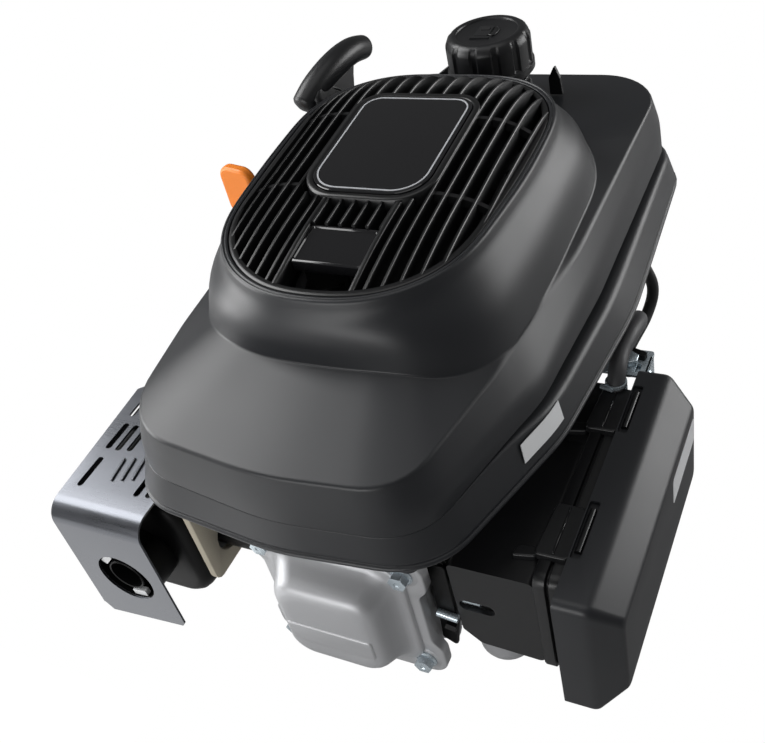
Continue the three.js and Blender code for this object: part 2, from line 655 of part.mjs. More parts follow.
function buildBlowerHousing() {
  const housingTop = (y) => foldHeight(y) - 0.4;
  const band = loft([
    ring(RIM, RIM_Z), ring(RIM, RIM_Z + 4), ring(FOLD, housingTop), ring(FOLD, housingTop, WALL),
    ring(RIM, RIM_Z + 5, WALL), ring(RIM, RIM_Z, WALL),
  ], true);
  const floor = loft([ring(RIM, RIM_Z + 3, WALL - 1), ring(RIM, RIM_Z + 6, WALL - 1)]);
  const duct = box(-58, 58, -180, -100, 131, RIM_Z + 4);
  const ductRoom = box(-55, 55, -177, -103, 120, RIM_Z + 8);
  return cut(join(band, floor, duct), ductRoom, post(0, 0, 150, 170, 74, 28), post(66, 140, 150, 170, 7, 12),
    post(HANDLE.x, HANDLE.y, 150, 170, ROPE_R + 2, 10));
}

function buildTopCover() {
  const below = (height) => (y) => height(y) - WALL;
  const shell = loft([
    ring(FOLD, foldHeight),
    ring(FOLD, rise(196, 208), 2),
    ring(CREASE, creaseHeight),
    ring(FOOT, footHeight),
    ring(MOUTH, (y) => mouthHeight(y) - 8, -6.5),
    ring(MOUTH, mouthHeight, -3.5),
    ring(MOUTH, (y) => mouthHeight(y) - 1, 0),
    ring(MOUTH, (y) => mouthHeight(y) - 5, 0),
    ring(MOUTH, (y) => mouthHeight(y) - 12, -4),
    ring(FOOT, below(footHeight), WALL),
    ring(CREASE, below(creaseHeight), WALL),
    ring(FOLD, foldHeight, WALL),
  ], true);
  const guide = post(HANDLE.x, HANDLE.y, 218, 235, 9, 12);
  const guideHole = post(HANDLE.x, HANDLE.y, 200, 240, ROPE_R + 1, 12);
  const tower = post(NECK.x, NECK.y, 222, 240, 27, 24);
  return cut(join(shell, guide, tower), guideHole, post(NECK.x, NECK.y, 200, 250, 22, 20));
}

// The grille is a shallow dome: ribs that run front to back inside an oval frame.
const crown = (y) => 274 + 0.085 * y;

function grilleSkin(drop) {
  const lower = (height) => (y) => height(y) - drop;
  const blend = (y) => 0.35 * (mouthHeight(y) - 1.5) + 0.65 * crown(y);
  return loft([
    ring(MOUTH, 200, GAP + 0.5),
    ring(MOUTH, lower((y) => mouthHeight(y) - 1.5), GAP + 0.5),
    ring(MOUTH, lower(blend), 0, 0.84),
    ring(MOUTH, lower(crown), 0, 0.58),
  ]);
}

const DECAL = { x0: -44, x1: 29, y0: -42, y1: 50 };

function buildGrille() {
  const skin = cut(grilleSkin(0), grilleSkin(6));
  const frame = cut(skin, loft([ring(MOUTH, 190, 7), ring(MOUTH, 300, 7)]));
  const middle = plate(rectangle(DECAL.x0 - 3, DECAL.x1 + 3, DECAL.y0 - 3, DECAL.y1 + 3, 16), 190, 300);
  const ribs = Array.from({ length: 5 }, (_, i) => {
    const x = HOUSING_X - 62 + i * 31;
    return box(x - 1.7, x + 1.7, -130, 130, 190, 300);
  });
  return join(frame, skin.intersect(join(middle, ...ribs)));
}

function buildDecalPlate() {
  const outline = rectangle(DECAL.x0, DECAL.x1, DECAL.y0, DECAL.y1, 14);
  const tilt = (THREE.MathUtils.radToDeg(Math.atan(0.085)));
  return plate(outline, GAP, 2).rotate([tilt, 0, 0]).translate([0, 0, crown(0)]);
}

add('blower_housing', buildBlowerHousing(), CHARCOAL);
add('top_cover', buildTopCover(), CHARCOAL);
add('grille', buildGrille(), BLACK);
add('decal_plate', buildDecalPlate(), BLACK);

// ---- fuel tank and oil filler
const TANK_LID_Z = 205;

function buildFuelTank() {
  const pan = plate(rectangle(-86, 76, 116, 178, 16), 166, TANK_LID_Z - GAP);
  const room = plate(rectangle(-83, 73, 119, 175, 13), 169, TANK_LID_Z + 1);
  const outlet = post(66, 140, 160.8, 170, 3.4, 10);
  return cut(pan, room, outlet);
}

function buildTankLid() {
  const lid = plate(rectangle(-86, 76, 116, 178, 16), TANK_LID_Z, TANK_LID_Z + 3);
  const neck = post(NECK.x, NECK.y, TANK_LID_Z, NECK.top, 19, 20);
  const flange = post(NECK.x, NECK.y, 241, 245, 24, 20);
  return cut(join(lid, neck, flange), post(NECK.x, NECK.y, 200, 270, 16, 18));
}

function buildFuelCap() {
  const lobes = 12;
  const outline = Array.from({ length: lobes * 4 }, (_, i) => {
    const angle = (2 * Math.PI * i) / (lobes * 4);
    const r = 28.6 + (i % 4 < 2 ? 0 : -1.2);
    return [NECK.x + r * Math.cos(angle), NECK.y + r * Math.sin(angle)];
  });
  const skirt = plate(outline, 250, 270);
  const profile = [[0, 269], [28, 269], [28, 274], [26, 278.4], [20, 279], [0, 279]];
  const top = turned(profile, 24, NECK.x, NECK.y);
  return cut(join(skirt, top), post(NECK.x, NECK.y, 240, 268, 21, 20));
}

function buildFillerTube() {
  const path = [[-107 - GAP, 40, 112], [-122, 40, 112], [-144, 32, 122], [DIPSTICK.x, DIPSTICK.y + 2, 146],
    [DIPSTICK.x, DIPSTICK.y, 170], [DIPSTICK.x, DIPSTICK.y, 196]];
  const straightEnd = post(DIPSTICK.x, DIPSTICK.y, 190, 197, 10, 16);
  const bore = post(DIPSTICK.x, DIPSTICK.y, 178, 198, 6, 12);
  return cut(join(hose(path, 8.5, 10, 12), straightEnd), bore);
}

function buildDipstick() {
  const tab = frontPlate(rectangle(-14, 14, 206, 238, 9), -4, 4);
  const body = join(tab, post(0, 0, 197.4, 212, 11, 16), post(0, 0, 180, 198, 5.4, 12));
  return body.rotate([0, 0, -12]).translate([DIPSTICK.x, DIPSTICK.y, 0]);
}

add('fuel_tank', buildFuelTank(), BLACK);
add('fuel_tank_lid', buildTankLid(), BLACK);
add('fuel_cap', buildFuelCap(), BLACK);
const SEAL_PROFILE = [[12, 262.3], [20, 262.3], [20, 264.3], [12, 264.3]];
add('fuel_cap_seal', turned(SEAL_PROFILE, 24, NECK.x, NECK.y), RUBBER);
add('oil_filler_tube', buildFillerTube(), BLACK);
add('dipstick', buildDipstick(), ORANGE);

// ---- exhaust
const SHIELD_FRONT = -197;
const OUTLET = { x: -153, z: 71 };

function slot(x, y, length, width) {
  return box(x - width / 2, x + width / 2, y - length / 2, y + length / 2, 120, 140);
}

function buildMufflerShield() {
  const thickness = 1.8;
  const bend = 13;
  const outer = [];
  const inner = [];
  for (let i = 0; i <= 6; i += 1) {
    const angle = Math.PI / 2 + (Math.PI / 2) * (i / 6);
    const cy = SHIELD_FRONT + bend;
    const cz = 130 - bend;
    outer.push([cy + bend * Math.cos(angle), cz + bend * Math.sin(angle)]);
    inner.unshift([cy + (bend - thickness) * Math.cos(angle), cz + (bend - thickness) * Math.sin(angle)]);
  }
  const outline = [[-81, 130], ...outer, [SHIELD_FRONT, 26], [SHIELD_FRONT + thickness, 26], ...inner,
    [-81, 130 - thickness]];
  const sheet = sidePlate(outline, -188.5, -119);
  const slots = [-162.5, -130.5, -101].flatMap((y) => [-179, -134, -125.5].map((x) => slot(x, y, 23, 4.2)));
  const innerSlots = [-130.5, -101].flatMap((y) => [-171, -163].map((x) => slot(x, y, 23, 4.2)));
  const hole = bar([OUTLET.x + 3, -205, OUTLET.z + 2], [OUTLET.x + 3, -185, OUTLET.z + 2], 20.5, 28);
  return cut(sheet, ...slots, ...innerSlots, hole);
}

function buildMuffler() {
  const can = frontPlate(rectangle(-186, -110, 30, 122, 16), -172, -88);
  const pipe = bar([-114, PORT_Y, CYLINDER_Z], [-58, PORT_Y, CYLINDER_Z], 12, 14);
  const outlet = bar([OUTLET.x, -170, OUTLET.z], [OUTLET.x, -193, OUTLET.z], 13, 20);
  return cut(join(can, pipe, outlet), bar([OUTLET.x, -165, OUTLET.z], [OUTLET.x, -195, OUTLET.z], 11, 18));
}

function buildHeatShield() {
  const sheet = sidePlate(rectangle(-172, -112, 56, 124, 6), -104, -99);
  return cutHole(sheet, [-110, PORT_Y, CYLINDER_Z], [-90, PORT_Y, CYLINDER_Z], 12.4);
}

add('muffler', buildMuffler(), BLACK);
add('muffler_shield', buildMufflerShield(), SATIN_STEEL);
add('exhaust_heat_shield', buildHeatShield(), GASKET);

// ---- intake: insulator, carburettor, air cleaner
const THROAT = { y: -142, z: 78 };

function buildInsulator() {
  const block = box(57.4, 63, -158, -128, 60, 98);
  return cutHole(block, [50, -145, THROAT.z], [70, -145, THROAT.z], 9);
}

function buildCarburettor() {
  const body = box(63.3, 96, -156, -126, 60, 96);
  const flange = bar([94, THROAT.y, THROAT.z], [101, THROAT.y, THROAT.z], 15, 20);
  const plug = post(78, -140, 95, 99, 5, 12);
  return cutHole(
    join(body, flange, plug),
    [60, THROAT.y, THROAT.z], [104, THROAT.y, THROAT.z], 10.5,
  );
}

const BOWL = { x: 80, y: -139 };

function buildFloatBowl() {
  return turned([
    [0, 12], [5.5, 12], [5.5, 18], [14, 18], [17, 21], [18, 26], [18, 56], [19.3, 56], [19.3, 59.7],
    [0, 59.7],
  ], 20, BOWL.x, BOWL.y);
}

const CLEANER = { x0: 65, plate0: 114, plate1: 130.7, y0: -162, y1: -10 };

function buildCleanerBase() {
  const snout = box(CLEANER.x0, CLEANER.plate0 + 1, CLEANER.y0, -60, 50, 121);
  const room = box(CLEANER.x0 - 1, CLEANER.plate0 - 2, CLEANER.y0 + 3, -59, 49, 117.5);
  const tray = box(CLEANER.plate0, CLEANER.plate1, CLEANER.y0, CLEANER.y1, 44, 126);
  const trayRoom = box(CLEANER.plate0 + 4, CLEANER.plate1 + 1, CLEANER.y0 + 4, CLEANER.y1 - 4, 48, 122);
  const duct = bar([101.3, THROAT.y, THROAT.z], [CLEANER.plate0 + 5, THROAT.y, THROAT.z], 15, 20);
  const vent = box(68, 92, CLEANER.y0 - 1, CLEANER.y0 + 4, 76, 82);
  const body = join(cut(snout, room), cut(tray, trayRoom), duct);
  return cut(body, bar([90, THROAT.y, THROAT.z], [125, THROAT.y, THROAT.z], 11, 20), vent);
}

function buildAirFilter() {
  const pleats = 13;
  const front = [];
  const back = [];
  for (let i = 0; i <= pleats * 2; i += 1) {
    const y = -154 + (136 * i) / (pleats * 2);
    const depth = i % 2 ? 146 : 124;
    front.push([depth + 2.5, y]);
    back.unshift([depth, y]);
  }
  return plate([...front, ...back], 52, 118);
}

function coverLoft(inset, x0, x1) {
  // Rectangles that shrink towards the outer face, so the corners are chamfered.
  const levels = [[x0, 0, 0], [x1 - 16 - inset * 0.4, 0, 0], [x1, 8, 20]];
  const points = [];
  levels.forEach(([x, side, low]) => {
    const y0 = -180 + side + inset;
    const y1 = -4 - side * 1.4 - inset;
    const z0 = 43 + low + inset;
    const z1 = 135 - side * 1.7 - inset;
    points.push([x, y0, z0], [x, y1, z0], [x, y1, z1], [x, y0, z1]);
  });
  const index = [0, 2, 1, 0, 3, 2, 8, 9, 10, 8, 10, 11];
  [0, 4].forEach((a) => {
    for (let i = 0; i < 4; i += 1) {
      const j = (i + 1) % 4;
      index.push(a + i, a + j, a + 4 + j, a + i, a + 4 + j, a + 4 + i);
    }
  });
  const geometry = new THREE.BufferGeometry();
  geometry.setAttribute('position', new THREE.Float32BufferAttribute(points.flat(), 3));
  geometry.setIndex(index);
  return solid(geometry);
}

function buildCleanerCover() {
  const start = CLEANER.plate1 + GAP;
  return cut(coverLoft(0, start, 165), coverLoft(2.5, start - 1, 162.5));
}

add('intake_insulator', buildInsulator(), BLACK);
add('carburetor_body', buildCarburettor(), CAST);
add('float_bowl', buildFloatBowl(), ZINC);
add('air_cleaner_base', buildCleanerBase(), BLACK);
add('air_filter', buildAirFilter(), PAPER);
add('air_cleaner_cover', buildCleanerCover(), CHARCOAL);

// ---- controls and hoses
const LEVER = { x: 122, y: 8, z: 127 };     // pivot of the lever, top of the bracket

function buildControlBracket() {
  const base = box(98, 134, LEVER.y - 11.5, LEVER.y + 12, LEVER.z - 3, LEVER.z);
  const ear = box(131.5, 134, LEVER.y - 10, LEVER.y + 9, LEVER.z - 16, LEVER.z - 1);
  const arm = box(66.3, 100, LEVER.y - 6, LEVER.y + 10, LEVER.z - 3, LEVER.z);
  const foot = box(66.3, 69, LEVER.y - 6, LEVER.y + 10, LEVER.z - 26, LEVER.z - 1);
  return cut(join(base, ear, arm, foot), post(LEVER.x, LEVER.y, LEVER.z - 9, LEVER.z + 5, 3.2, 10));
}

function buildControlLever() {
  const bottom = LEVER.z - 5.5 - GAP;
  const hub = post(LEVER.x, LEVER.y, bottom, bottom + 2.5, 8, 12);
  const arm = box(LEVER.x - 30, LEVER.x, LEVER.y - 4, LEVER.y + 4, bottom, bottom + 2.5);
  const tip = post(LEVER.x - 30, LEVER.y, bottom, bottom + 2.5, 5, 12);
  return cut(join(hub, arm, tip), post(LEVER.x, LEVER.y, bottom - 1, bottom + 4, 3.2, 10));
}

function buildLeverScrew() {
  const seat = LEVER.z + GAP;
  const head = post(LEVER.x, LEVER.y, seat, seat + 4, 5.5, 6);
  const shank = post(LEVER.x, LEVER.y, LEVER.z - 8, seat + 1, 2.9, 10);
  return join(head, shank);
}

// From the carburettor under the air cleaner and up behind it to the tank outlet.
const FUEL_LINE = [
  [86, -125, 66], [86, -112, 64], [88, -94, 50], [92, -60, 38], [95, -20, 42], [98, 24, 60],
  [103, 62, 82], [110, 92, 94], [112, 104, 110], [104, 106, 130], [88, 122, 142], [70, 138, 150],
  [66, 140, 158], [66, 140, 165.5],
];

// From the crankcase breather, under the rim of the housing, to the tray of the air cleaner.
const BREATHER_LINE = [
  [66.6, 50, 98], [84, 54, 102], [102, 58, 112], [115, 50, 126], [120.5, 34, 137], [120.5, 16, 142],
  [119, 0, 141], [119.6, -11, 138], [120, -17, 131], [120, -17, 126.5],
];

add('control_bracket', buildControlBracket(), ZINC);
add('control_lever', buildControlLever(), ZINC);
add('lever_screw', buildLeverScrew(), ZINC);
add('fuel_hose', hose(FUEL_LINE, 4, 8, 20), RUBBER);
add('breather_hose', hose(BREATHER_LINE, 5.4, 10, 16), RUBBER);

export default engine;
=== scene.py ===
from math import acos, atan2, cos, hypot, pi, radians, sin, sqrt, tan

import bmesh
import bpy
from mathutils import Matrix, Vector


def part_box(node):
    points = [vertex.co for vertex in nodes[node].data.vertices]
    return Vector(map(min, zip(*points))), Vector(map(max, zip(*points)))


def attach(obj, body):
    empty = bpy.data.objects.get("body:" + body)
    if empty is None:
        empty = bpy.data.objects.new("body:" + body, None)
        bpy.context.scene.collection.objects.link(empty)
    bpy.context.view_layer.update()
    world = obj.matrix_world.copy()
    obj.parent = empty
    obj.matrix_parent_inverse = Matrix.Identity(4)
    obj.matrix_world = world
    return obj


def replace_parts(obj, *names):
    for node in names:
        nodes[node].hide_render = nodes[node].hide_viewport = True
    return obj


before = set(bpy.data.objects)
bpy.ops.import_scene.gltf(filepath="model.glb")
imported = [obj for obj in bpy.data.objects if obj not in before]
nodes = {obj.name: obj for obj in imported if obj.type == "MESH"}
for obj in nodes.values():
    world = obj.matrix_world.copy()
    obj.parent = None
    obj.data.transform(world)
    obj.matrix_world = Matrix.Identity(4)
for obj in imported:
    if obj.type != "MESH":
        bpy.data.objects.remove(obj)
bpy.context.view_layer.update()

MM = 0.001
scene = bpy.context.scene

# ---- driving dimensions (mm)
HOUSING_X = -8            # the housings' centre line lies a little towards the muffler
MIDDLE = (HOUSING_X, 0)
RIM_Z = 155               # lower edge of the blower housing
FOLD_Z = 181              # split between blower housing and top cover
WALL = 3
BOLT_X = 44.4             # rocker cover bolts, half spacing across
BOLT_HEIGHTS = (38, 118)
COVER_FACE_Y = -173.3     # front of the rocker cover's flange
NECK = (0, 141)           # middle of the fuel filler, seen from above
HANDLE = (-98, 110)
DIPSTICK = (-144, 27)
DECAL = (-44, 29, -42, 50)
BADGE = (-27, 18, -95, -67)
FRAME_WIDTH = 4.5         # raised frame round the decal
OUTLET = (-153, 71)       # the exhaust pipe's x and z
SHIELD_HOLE = (-150, 73)
CLEANER_ENDS = (-162, -10)
CLEANER_SPLIT = 130.7
CLEANER_FACE = 165
SIDES = 220               # points round each ring of the housings
WELD = 1e-6               # points closer than this, in metres, are one


# ---- materials
def node(tree, kind, **values):
    """A new shader node; each value goes to the input of that name or else to its setting."""
    made = tree.nodes.new(kind)
    for key, value in values.items():
        if key in made.inputs:
            made.inputs[key].default_value = value
        else:
            setattr(made, key, value)
    return made


def fill(made, values):
    """Sets a node's inputs by their names."""
    for key, value in values.items():
        made.inputs[key].default_value = value


def surface(name, color, roughness, metallic=0.0, grain=0.5, bump=0.0, spread=0.06, mottle=0.12,
            stretch=(1, 1, 1), specular=0.5, coat=0.0, edge_highlight=0.0):
    """A procedural finish. grain is the size of its texture in mm, bump its height in mm, spread how
    much the roughness varies, mottle how much the colour varies, stretch the grain's direction and
    the last how much lighter its sharp edges are painted, as a painted highlight."""
    mat = bpy.data.materials.new(name)
    mat.use_nodes = True
    tree = mat.node_tree
    link = tree.links.new
    shader = tree.nodes["Principled BSDF"]
    fill(shader, {"Metallic": metallic, "Specular IOR Level": specular, "Coat Weight": coat,
                  "Coat Roughness": 0.04})
    place = node(tree, "ShaderNodeTexCoord")
    shape = node(tree, "ShaderNodeMapping", Scale=stretch)
    link(place.outputs["Object"], shape.inputs["Vector"])
    fine = node(tree, "ShaderNodeTexNoise", Scale=1000 / grain, Detail=3.0, Roughness=0.6)
    link(shape.outputs["Vector"], fine.inputs["Vector"])
    broad = node(tree, "ShaderNodeTexNoise", Scale=28.0, Detail=4.0)
    link(place.outputs["Object"], broad.inputs["Vector"])
    both = node(tree, "ShaderNodeMath", operation="ADD")
    link(fine.outputs["Fac"], both.inputs[0])
    link(broad.outputs["Fac"], both.inputs[1])
    tint = node(tree, "ShaderNodeMapRange")
    fill(tint, {"From Max": 2.0, "To Min": 1 - mottle, "To Max": 1 + mottle})
    link(both.outputs[0], tint.inputs["Value"])
    shade = node(tree, "ShaderNodeVectorMath", operation="SCALE")
    shade.inputs[0].default_value = color
    link(tint.outputs["Result"], shade.inputs["Scale"])
    last = shade.outputs["Vector"]
    # Sharp edges are painted lighter: a painted highlight where the edges catch the light.
    if edge_highlight:
        last = painted_edge_highlight(tree, last, color, edge_highlight)
    link(last, shader.inputs["Base Color"])
    rough = node(tree, "ShaderNodeMapRange")
    fill(rough, {"From Max": 2.0, "To Min": max(0.02, roughness - spread), "To Max": roughness + spread})
    link(both.outputs[0], rough.inputs["Value"])
    link(rough.outputs["Result"], shader.inputs["Roughness"])
    if bump:
        relief = node(tree, "ShaderNodeBump", Strength=1.0, Distance=bump * MM)
        link(fine.outputs["Fac"], relief.inputs["Height"])
        link(relief.outputs["Normal"], shader.inputs["Normal"])
    return mat


def painted_edge_highlight(tree, color_socket, color, amount):
    """Painted highlight: sharp edges are a little lighter than the faces beside them."""
    place = node(tree, "ShaderNodeNewGeometry")
    band = node(tree, "ShaderNodeMapRange")
    fill(band, {"From Min": 0.52, "From Max": 0.62, "To Max": amount})
    tree.links.new(place.outputs["Pointiness"], band.inputs["Value"])
    mix = node(tree, "ShaderNodeMix", data_type="RGBA")
    tree.links.new(band.outputs["Result"], mix.inputs["Factor"])
    tree.links.new(color_socket, mix.inputs[6])
    mix.inputs[7].default_value = (*[min(1, c * 2.2 + 0.03) for c in color], 1)
    return mix.outputs[2]


# The last number of a finish lightens its sharp edges as a painted highlight.
CHARCOAL = surface("charcoal_plastic", (0.0116, 0.0126, 0.0150), 0.41, bump=0.022, edge_highlight=0.12)
BLACK = surface("black_plastic", (0.0035, 0.0037, 0.0042), 0.3, grain=0.7, bump=0.01, edge_highlight=0.1)
SATIN = surface("satin_black_plastic", (0.006, 0.0063, 0.0072), 0.38, grain=0.45, bump=0.02, edge_highlight=0.1)
GLOSS = surface("gloss_black", (0.008, 0.008, 0.009), 0.08, spread=0.02, coat=0.3)
SILVER_LINE = surface("silver_print", (0.42, 0.43, 0.45), 0.4)
ORANGE = surface("orange_plastic", (0.78, 0.20, 0.006), 0.45, grain=0.6, bump=0.02, mottle=0.06)
CAST = surface("cast_aluminium", (0.47, 0.475, 0.49), 0.46, metallic=0.55, grain=0.6, bump=0.03,
               mottle=0.1, edge_highlight=0.2)
RAW_CAST = surface("raw_casting", (0.42, 0.425, 0.43), 0.55, metallic=0.8, grain=1.4, bump=0.12,
                   mottle=0.2, edge_highlight=0.3)
ZINC = surface("zinc_plate", (0.60, 0.68, 0.73), 0.27, metallic=0.7, grain=1.2, bump=0.001,
               spread=0.03, mottle=0.03)
STEEL = surface("machined_steel", (0.46, 0.47, 0.48), 0.3, metallic=1.0, grain=0.3, bump=0.008,
                stretch=(0.15, 1, 1))
SHIELD_STEEL = surface("shield_steel", (0.13, 0.136, 0.15), 0.3, metallic=0.95, grain=0.35, bump=0.012,
                       stretch=(0.02, 1, 1), spread=0.1, mottle=0.16)
PAINT = surface("black_paint", (0.004, 0.004, 0.0043), 0.42, grain=1.0, bump=0.03, specular=0.18)
IRON = surface("cast_iron", (0.12, 0.12, 0.125), 0.55, metallic=0.8, grain=1.5, bump=0.1, mottle=0.25)
RUBBER = surface("rubber", (0.016, 0.016, 0.017), 0.55, bump=0.02, specular=0.4)
HOSE = surface("hose_rubber", (0.05, 0.05, 0.053), 0.5, bump=0.02, specular=0.4)
FIBRE = surface("gasket_fibre", (0.55, 0.50, 0.40), 0.85, grain=0.8, bump=0.06, mottle=0.25)
PAPER = surface("filter_paper", (0.80, 0.72, 0.52), 0.9, grain=0.8, bump=0.05, mottle=0.12)
CERAMIC = surface("spark_plug_steel", (0.66, 0.66, 0.65), 0.25, metallic=0.3)
LABEL = surface("plain_label", (0.72, 0.73, 0.74), 0.45, mottle=0.05)


# ---- mesh helpers
def plain_mesh(name, points, faces, weld=True):
    """An object from points in mm, with its faces turned outwards."""
    mesh = bpy.data.meshes.new(name)
    mesh.from_pydata([[c * MM for c in p] for p in points], [], faces)
    work = bmesh.new()
    work.from_mesh(mesh)
    if weld:
        bmesh.ops.remove_doubles(work, verts=work.verts, dist=WELD)
    bmesh.ops.recalc_face_normals(work, faces=work.faces)
    work.to_mesh(mesh)
    work.free()
    obj = bpy.data.objects.new(name, mesh)
    scene.collection.objects.link(obj)
    return obj


def piece(name, points, faces, mat, body="engine_block", smooth=True, sharp=None):
    """A mesh piece from points in mm, riding on a body."""
    obj = plain_mesh(name, points, faces)
    finish(obj, mat, smooth, sharp)
    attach(obj, body)
    return obj


def finish(obj, mat, smooth=True, sharp=None):
    """Gives a mesh its material and its shading; edges over sharp degrees stay crisp."""
    obj.data.materials.clear()
    obj.data.materials.append(mat)
    obj.data.polygons.foreach_set("use_smooth", [smooth] * len(obj.data.polygons))
    if sharp:
        obj.data.set_sharp_from_angle(angle=radians(sharp))


def soften(obj, width, segments=2, angle=40):
    """Rounds the edges of a piece by a bevel of the given width in mm."""
    bevel = obj.modifiers.new("edges", "BEVEL")
    bevel.width = width * MM
    bevel.segments = segments
    bevel.limit_method = "ANGLE"
    bevel.angle_limit = radians(angle)
    bevel.harden_normals = True
    bevel.use_clamp_overlap = True


def plate(name, mesh, mat, width, segments=2, angle=40):
    """A flat-sided piece with softened edges."""
    obj = piece(name, *mesh, mat, smooth=False)
    soften(obj, width, segments, angle)
    return obj


def cut(obj, meshes):
    """Cuts closed forms of (points, faces) out of a piece."""
    tools = [plain_mesh("tool", *mesh, weld=False) for mesh in meshes]
    for tool in tools:
        mod = obj.modifiers.new("cut", "BOOLEAN")
        mod.operation = "DIFFERENCE"
        mod.solver = "EXACT"
        mod.object = tool
    bpy.context.view_layer.update()
    graph = bpy.context.evaluated_depsgraph_get()
    mesh = bpy.data.meshes.new_from_object(obj.evaluated_get(graph))
    obj.modifiers.clear()
    obj.data = mesh
    for tool in tools:
        bpy.data.objects.remove(tool)


def around(count):
    """The angles of a full turn in equal steps."""
    return [2 * pi * i / count for i in range(count)]


def polar(radius, angle, z, centre=(0, 0)):
    """The point at a radius and an angle from a vertical axis."""
    return centre[0] + radius * cos(angle), centre[1] + radius * sin(angle), z


def grid(rows, close_rows=False, close_columns=True, caps=False):
    """Points and faces of rows of equal length, joined into a skin."""
    count = len(rows[0])
    points = [p for row in rows for p in row]
    faces = []
    steps = len(rows) if close_rows else len(rows) - 1
    for k in range(steps):
        a, b = k * count, (k + 1) % len(rows) * count
        for i in range(count if close_columns else count - 1):
            j = (i + 1) % count
            faces.append((a + i, a + j, b + j, b + i))
    if caps:
        faces.append(tuple(range(count))[::-1])
        faces.append(tuple(range(len(points) - count, len(points))))
    return points, faces


def loft(rows):
    """A closed form through rows of points, with a cap at each end."""
    return grid(rows, caps=True)


def prism(outline, low, high, axis="z"):
    """A plate's points and faces: the outline lies across the axis, from low to high."""
    turn = {"z": lambda a, b, c: (a, b, c), "y": lambda a, b, c: (a, c, b), "x": lambda a, b, c: (c, a, b)}
    return loft([[turn[axis](a, b, c) for a, b in outline] for c in (low, high)])


def box(x0, x1, y0, y1, z0, z1):
    """A block between six faces."""
    return prism([(x0, y0), (x1, y0), (x1, y1), (x0, y1)], z0, z1)


def lathe(profile, sides=64, centre=(0, 0)):
    """A turned form about a vertical axis, from (radius, z) points."""
    return grid([[polar(radius, a, z, centre) for a in around(sides)] for radius, z in profile])


def ring_of(profile, sides, centre=(0, 0)):
    """A turned ring whose profile closes on itself."""
    return lathe(profile + profile[:1], sides, centre)


def along(points, mesh):
    """Turns a form made about the z axis so that the axis runs between two points."""
    start, end = Vector(points[0]), Vector(points[1])
    turn = (end - start).to_track_quat("Z", "Y").to_matrix()
    moved = [tuple(turn @ Vector(p) + start) for p in mesh[0]]
    return moved, mesh[1]


def rod(start, end, radius, sides=32):
    """A round bar between two points."""
    length = (Vector(end) - Vector(start)).length
    return along((start, end), loft([[polar(radius, a, z) for a in around(sides)] for z in (0, length)]))


def fillet(points, radii, steps=4):
    """Rounds the corners of an open run of points; a radius of 0 leaves a corner sharp."""
    out = [points[0]]
    for k in range(1, len(points) - 1):
        before, here, after = Vector(points[k - 1]), Vector(points[k]), Vector(points[k + 1])
        radius = radii[k]
        if radius <= 0:
            out.append(tuple(here))
            continue
        first = here + (before - here).normalized() * min(radius, (before - here).length * 0.48)
        last = here + (after - here).normalized() * min(radius, (after - here).length * 0.48)
        for i in range(steps + 1):
            t = i / steps
            out.append(tuple(first.lerp(here, t).lerp(here.lerp(last, t), t)))
    out.append(points[-1])
    return out


def rounded(corners, steps=12):
    """The outline of a polygon whose corners (x, y, radius) are rounded."""
    outline = []
    for i, (x, y, radius) in enumerate(corners):
        here = Vector((x, y))
        before = (Vector(corners[i - 1][:2]) - here).normalized()
        after = (Vector(corners[(i + 1) % len(corners)][:2]) - here).normalized()
        half = acos(max(-1, min(1, before.dot(after)))) / 2
        turn = 1 if before.cross(after) < 0 else -1
        centre = here + (before + after).normalized() * radius / sin(half)
        first = here + before * radius / tan(half) - centre
        start = atan2(first.y, first.x)
        for k in range(steps + 1):
            angle = start + turn * (pi - 2 * half) * k / steps
            outline.append((centre.x + radius * cos(angle), centre.y + radius * sin(angle)))
    return outline


def rectangle(x0, x1, y0, y1, radius, steps=6):
    """The outline of a rectangle with rounded corners."""
    return rounded([(x0, y0, radius), (x1, y0, radius), (x1, y1, radius), (x0, y1, radius)], steps)


def smooth_path(points, steps=8):
    """A Catmull-Rom curve through the points."""
    pts = [Vector(p) for p in points]
    pts = [pts[0] * 2 - pts[1], *pts, pts[-1] * 2 - pts[-2]]
    out = []
    for k in range(1, len(pts) - 2):
        a, b, c, d = pts[k - 1:k + 3]
        for i in range(steps):
            t = i / steps
            out.append(0.5 * ((2 * b) + (c - a) * t + (2 * a - 5 * b + 4 * c - d) * t * t
                              + (3 * b - a - 3 * c + d) * t ** 3))
    out.append(pts[-2])
    return out


def tube(points, radius, sides=20, steps=8, flat=1.0):
    """A round or oval bar along a smooth curve; radius is a number or a function of the share run."""
    path = smooth_path(points, steps)
    rows = []
    side = None
    for k, here in enumerate(path):
        ahead = path[min(k + 1, len(path) - 1)] - path[max(k - 1, 0)]
        ahead.normalize()
        if side is None:
            side = ahead.orthogonal().normalized()
        side = (side - ahead * side.dot(ahead)).normalized()
        up = ahead.cross(side)
        r = radius(k / (len(path) - 1)) if callable(radius) else radius
        rows.append([tuple(here + side * r * cos(a) + up * r * flat * sin(a))
                     for a in around(sides)])
    return loft(rows)


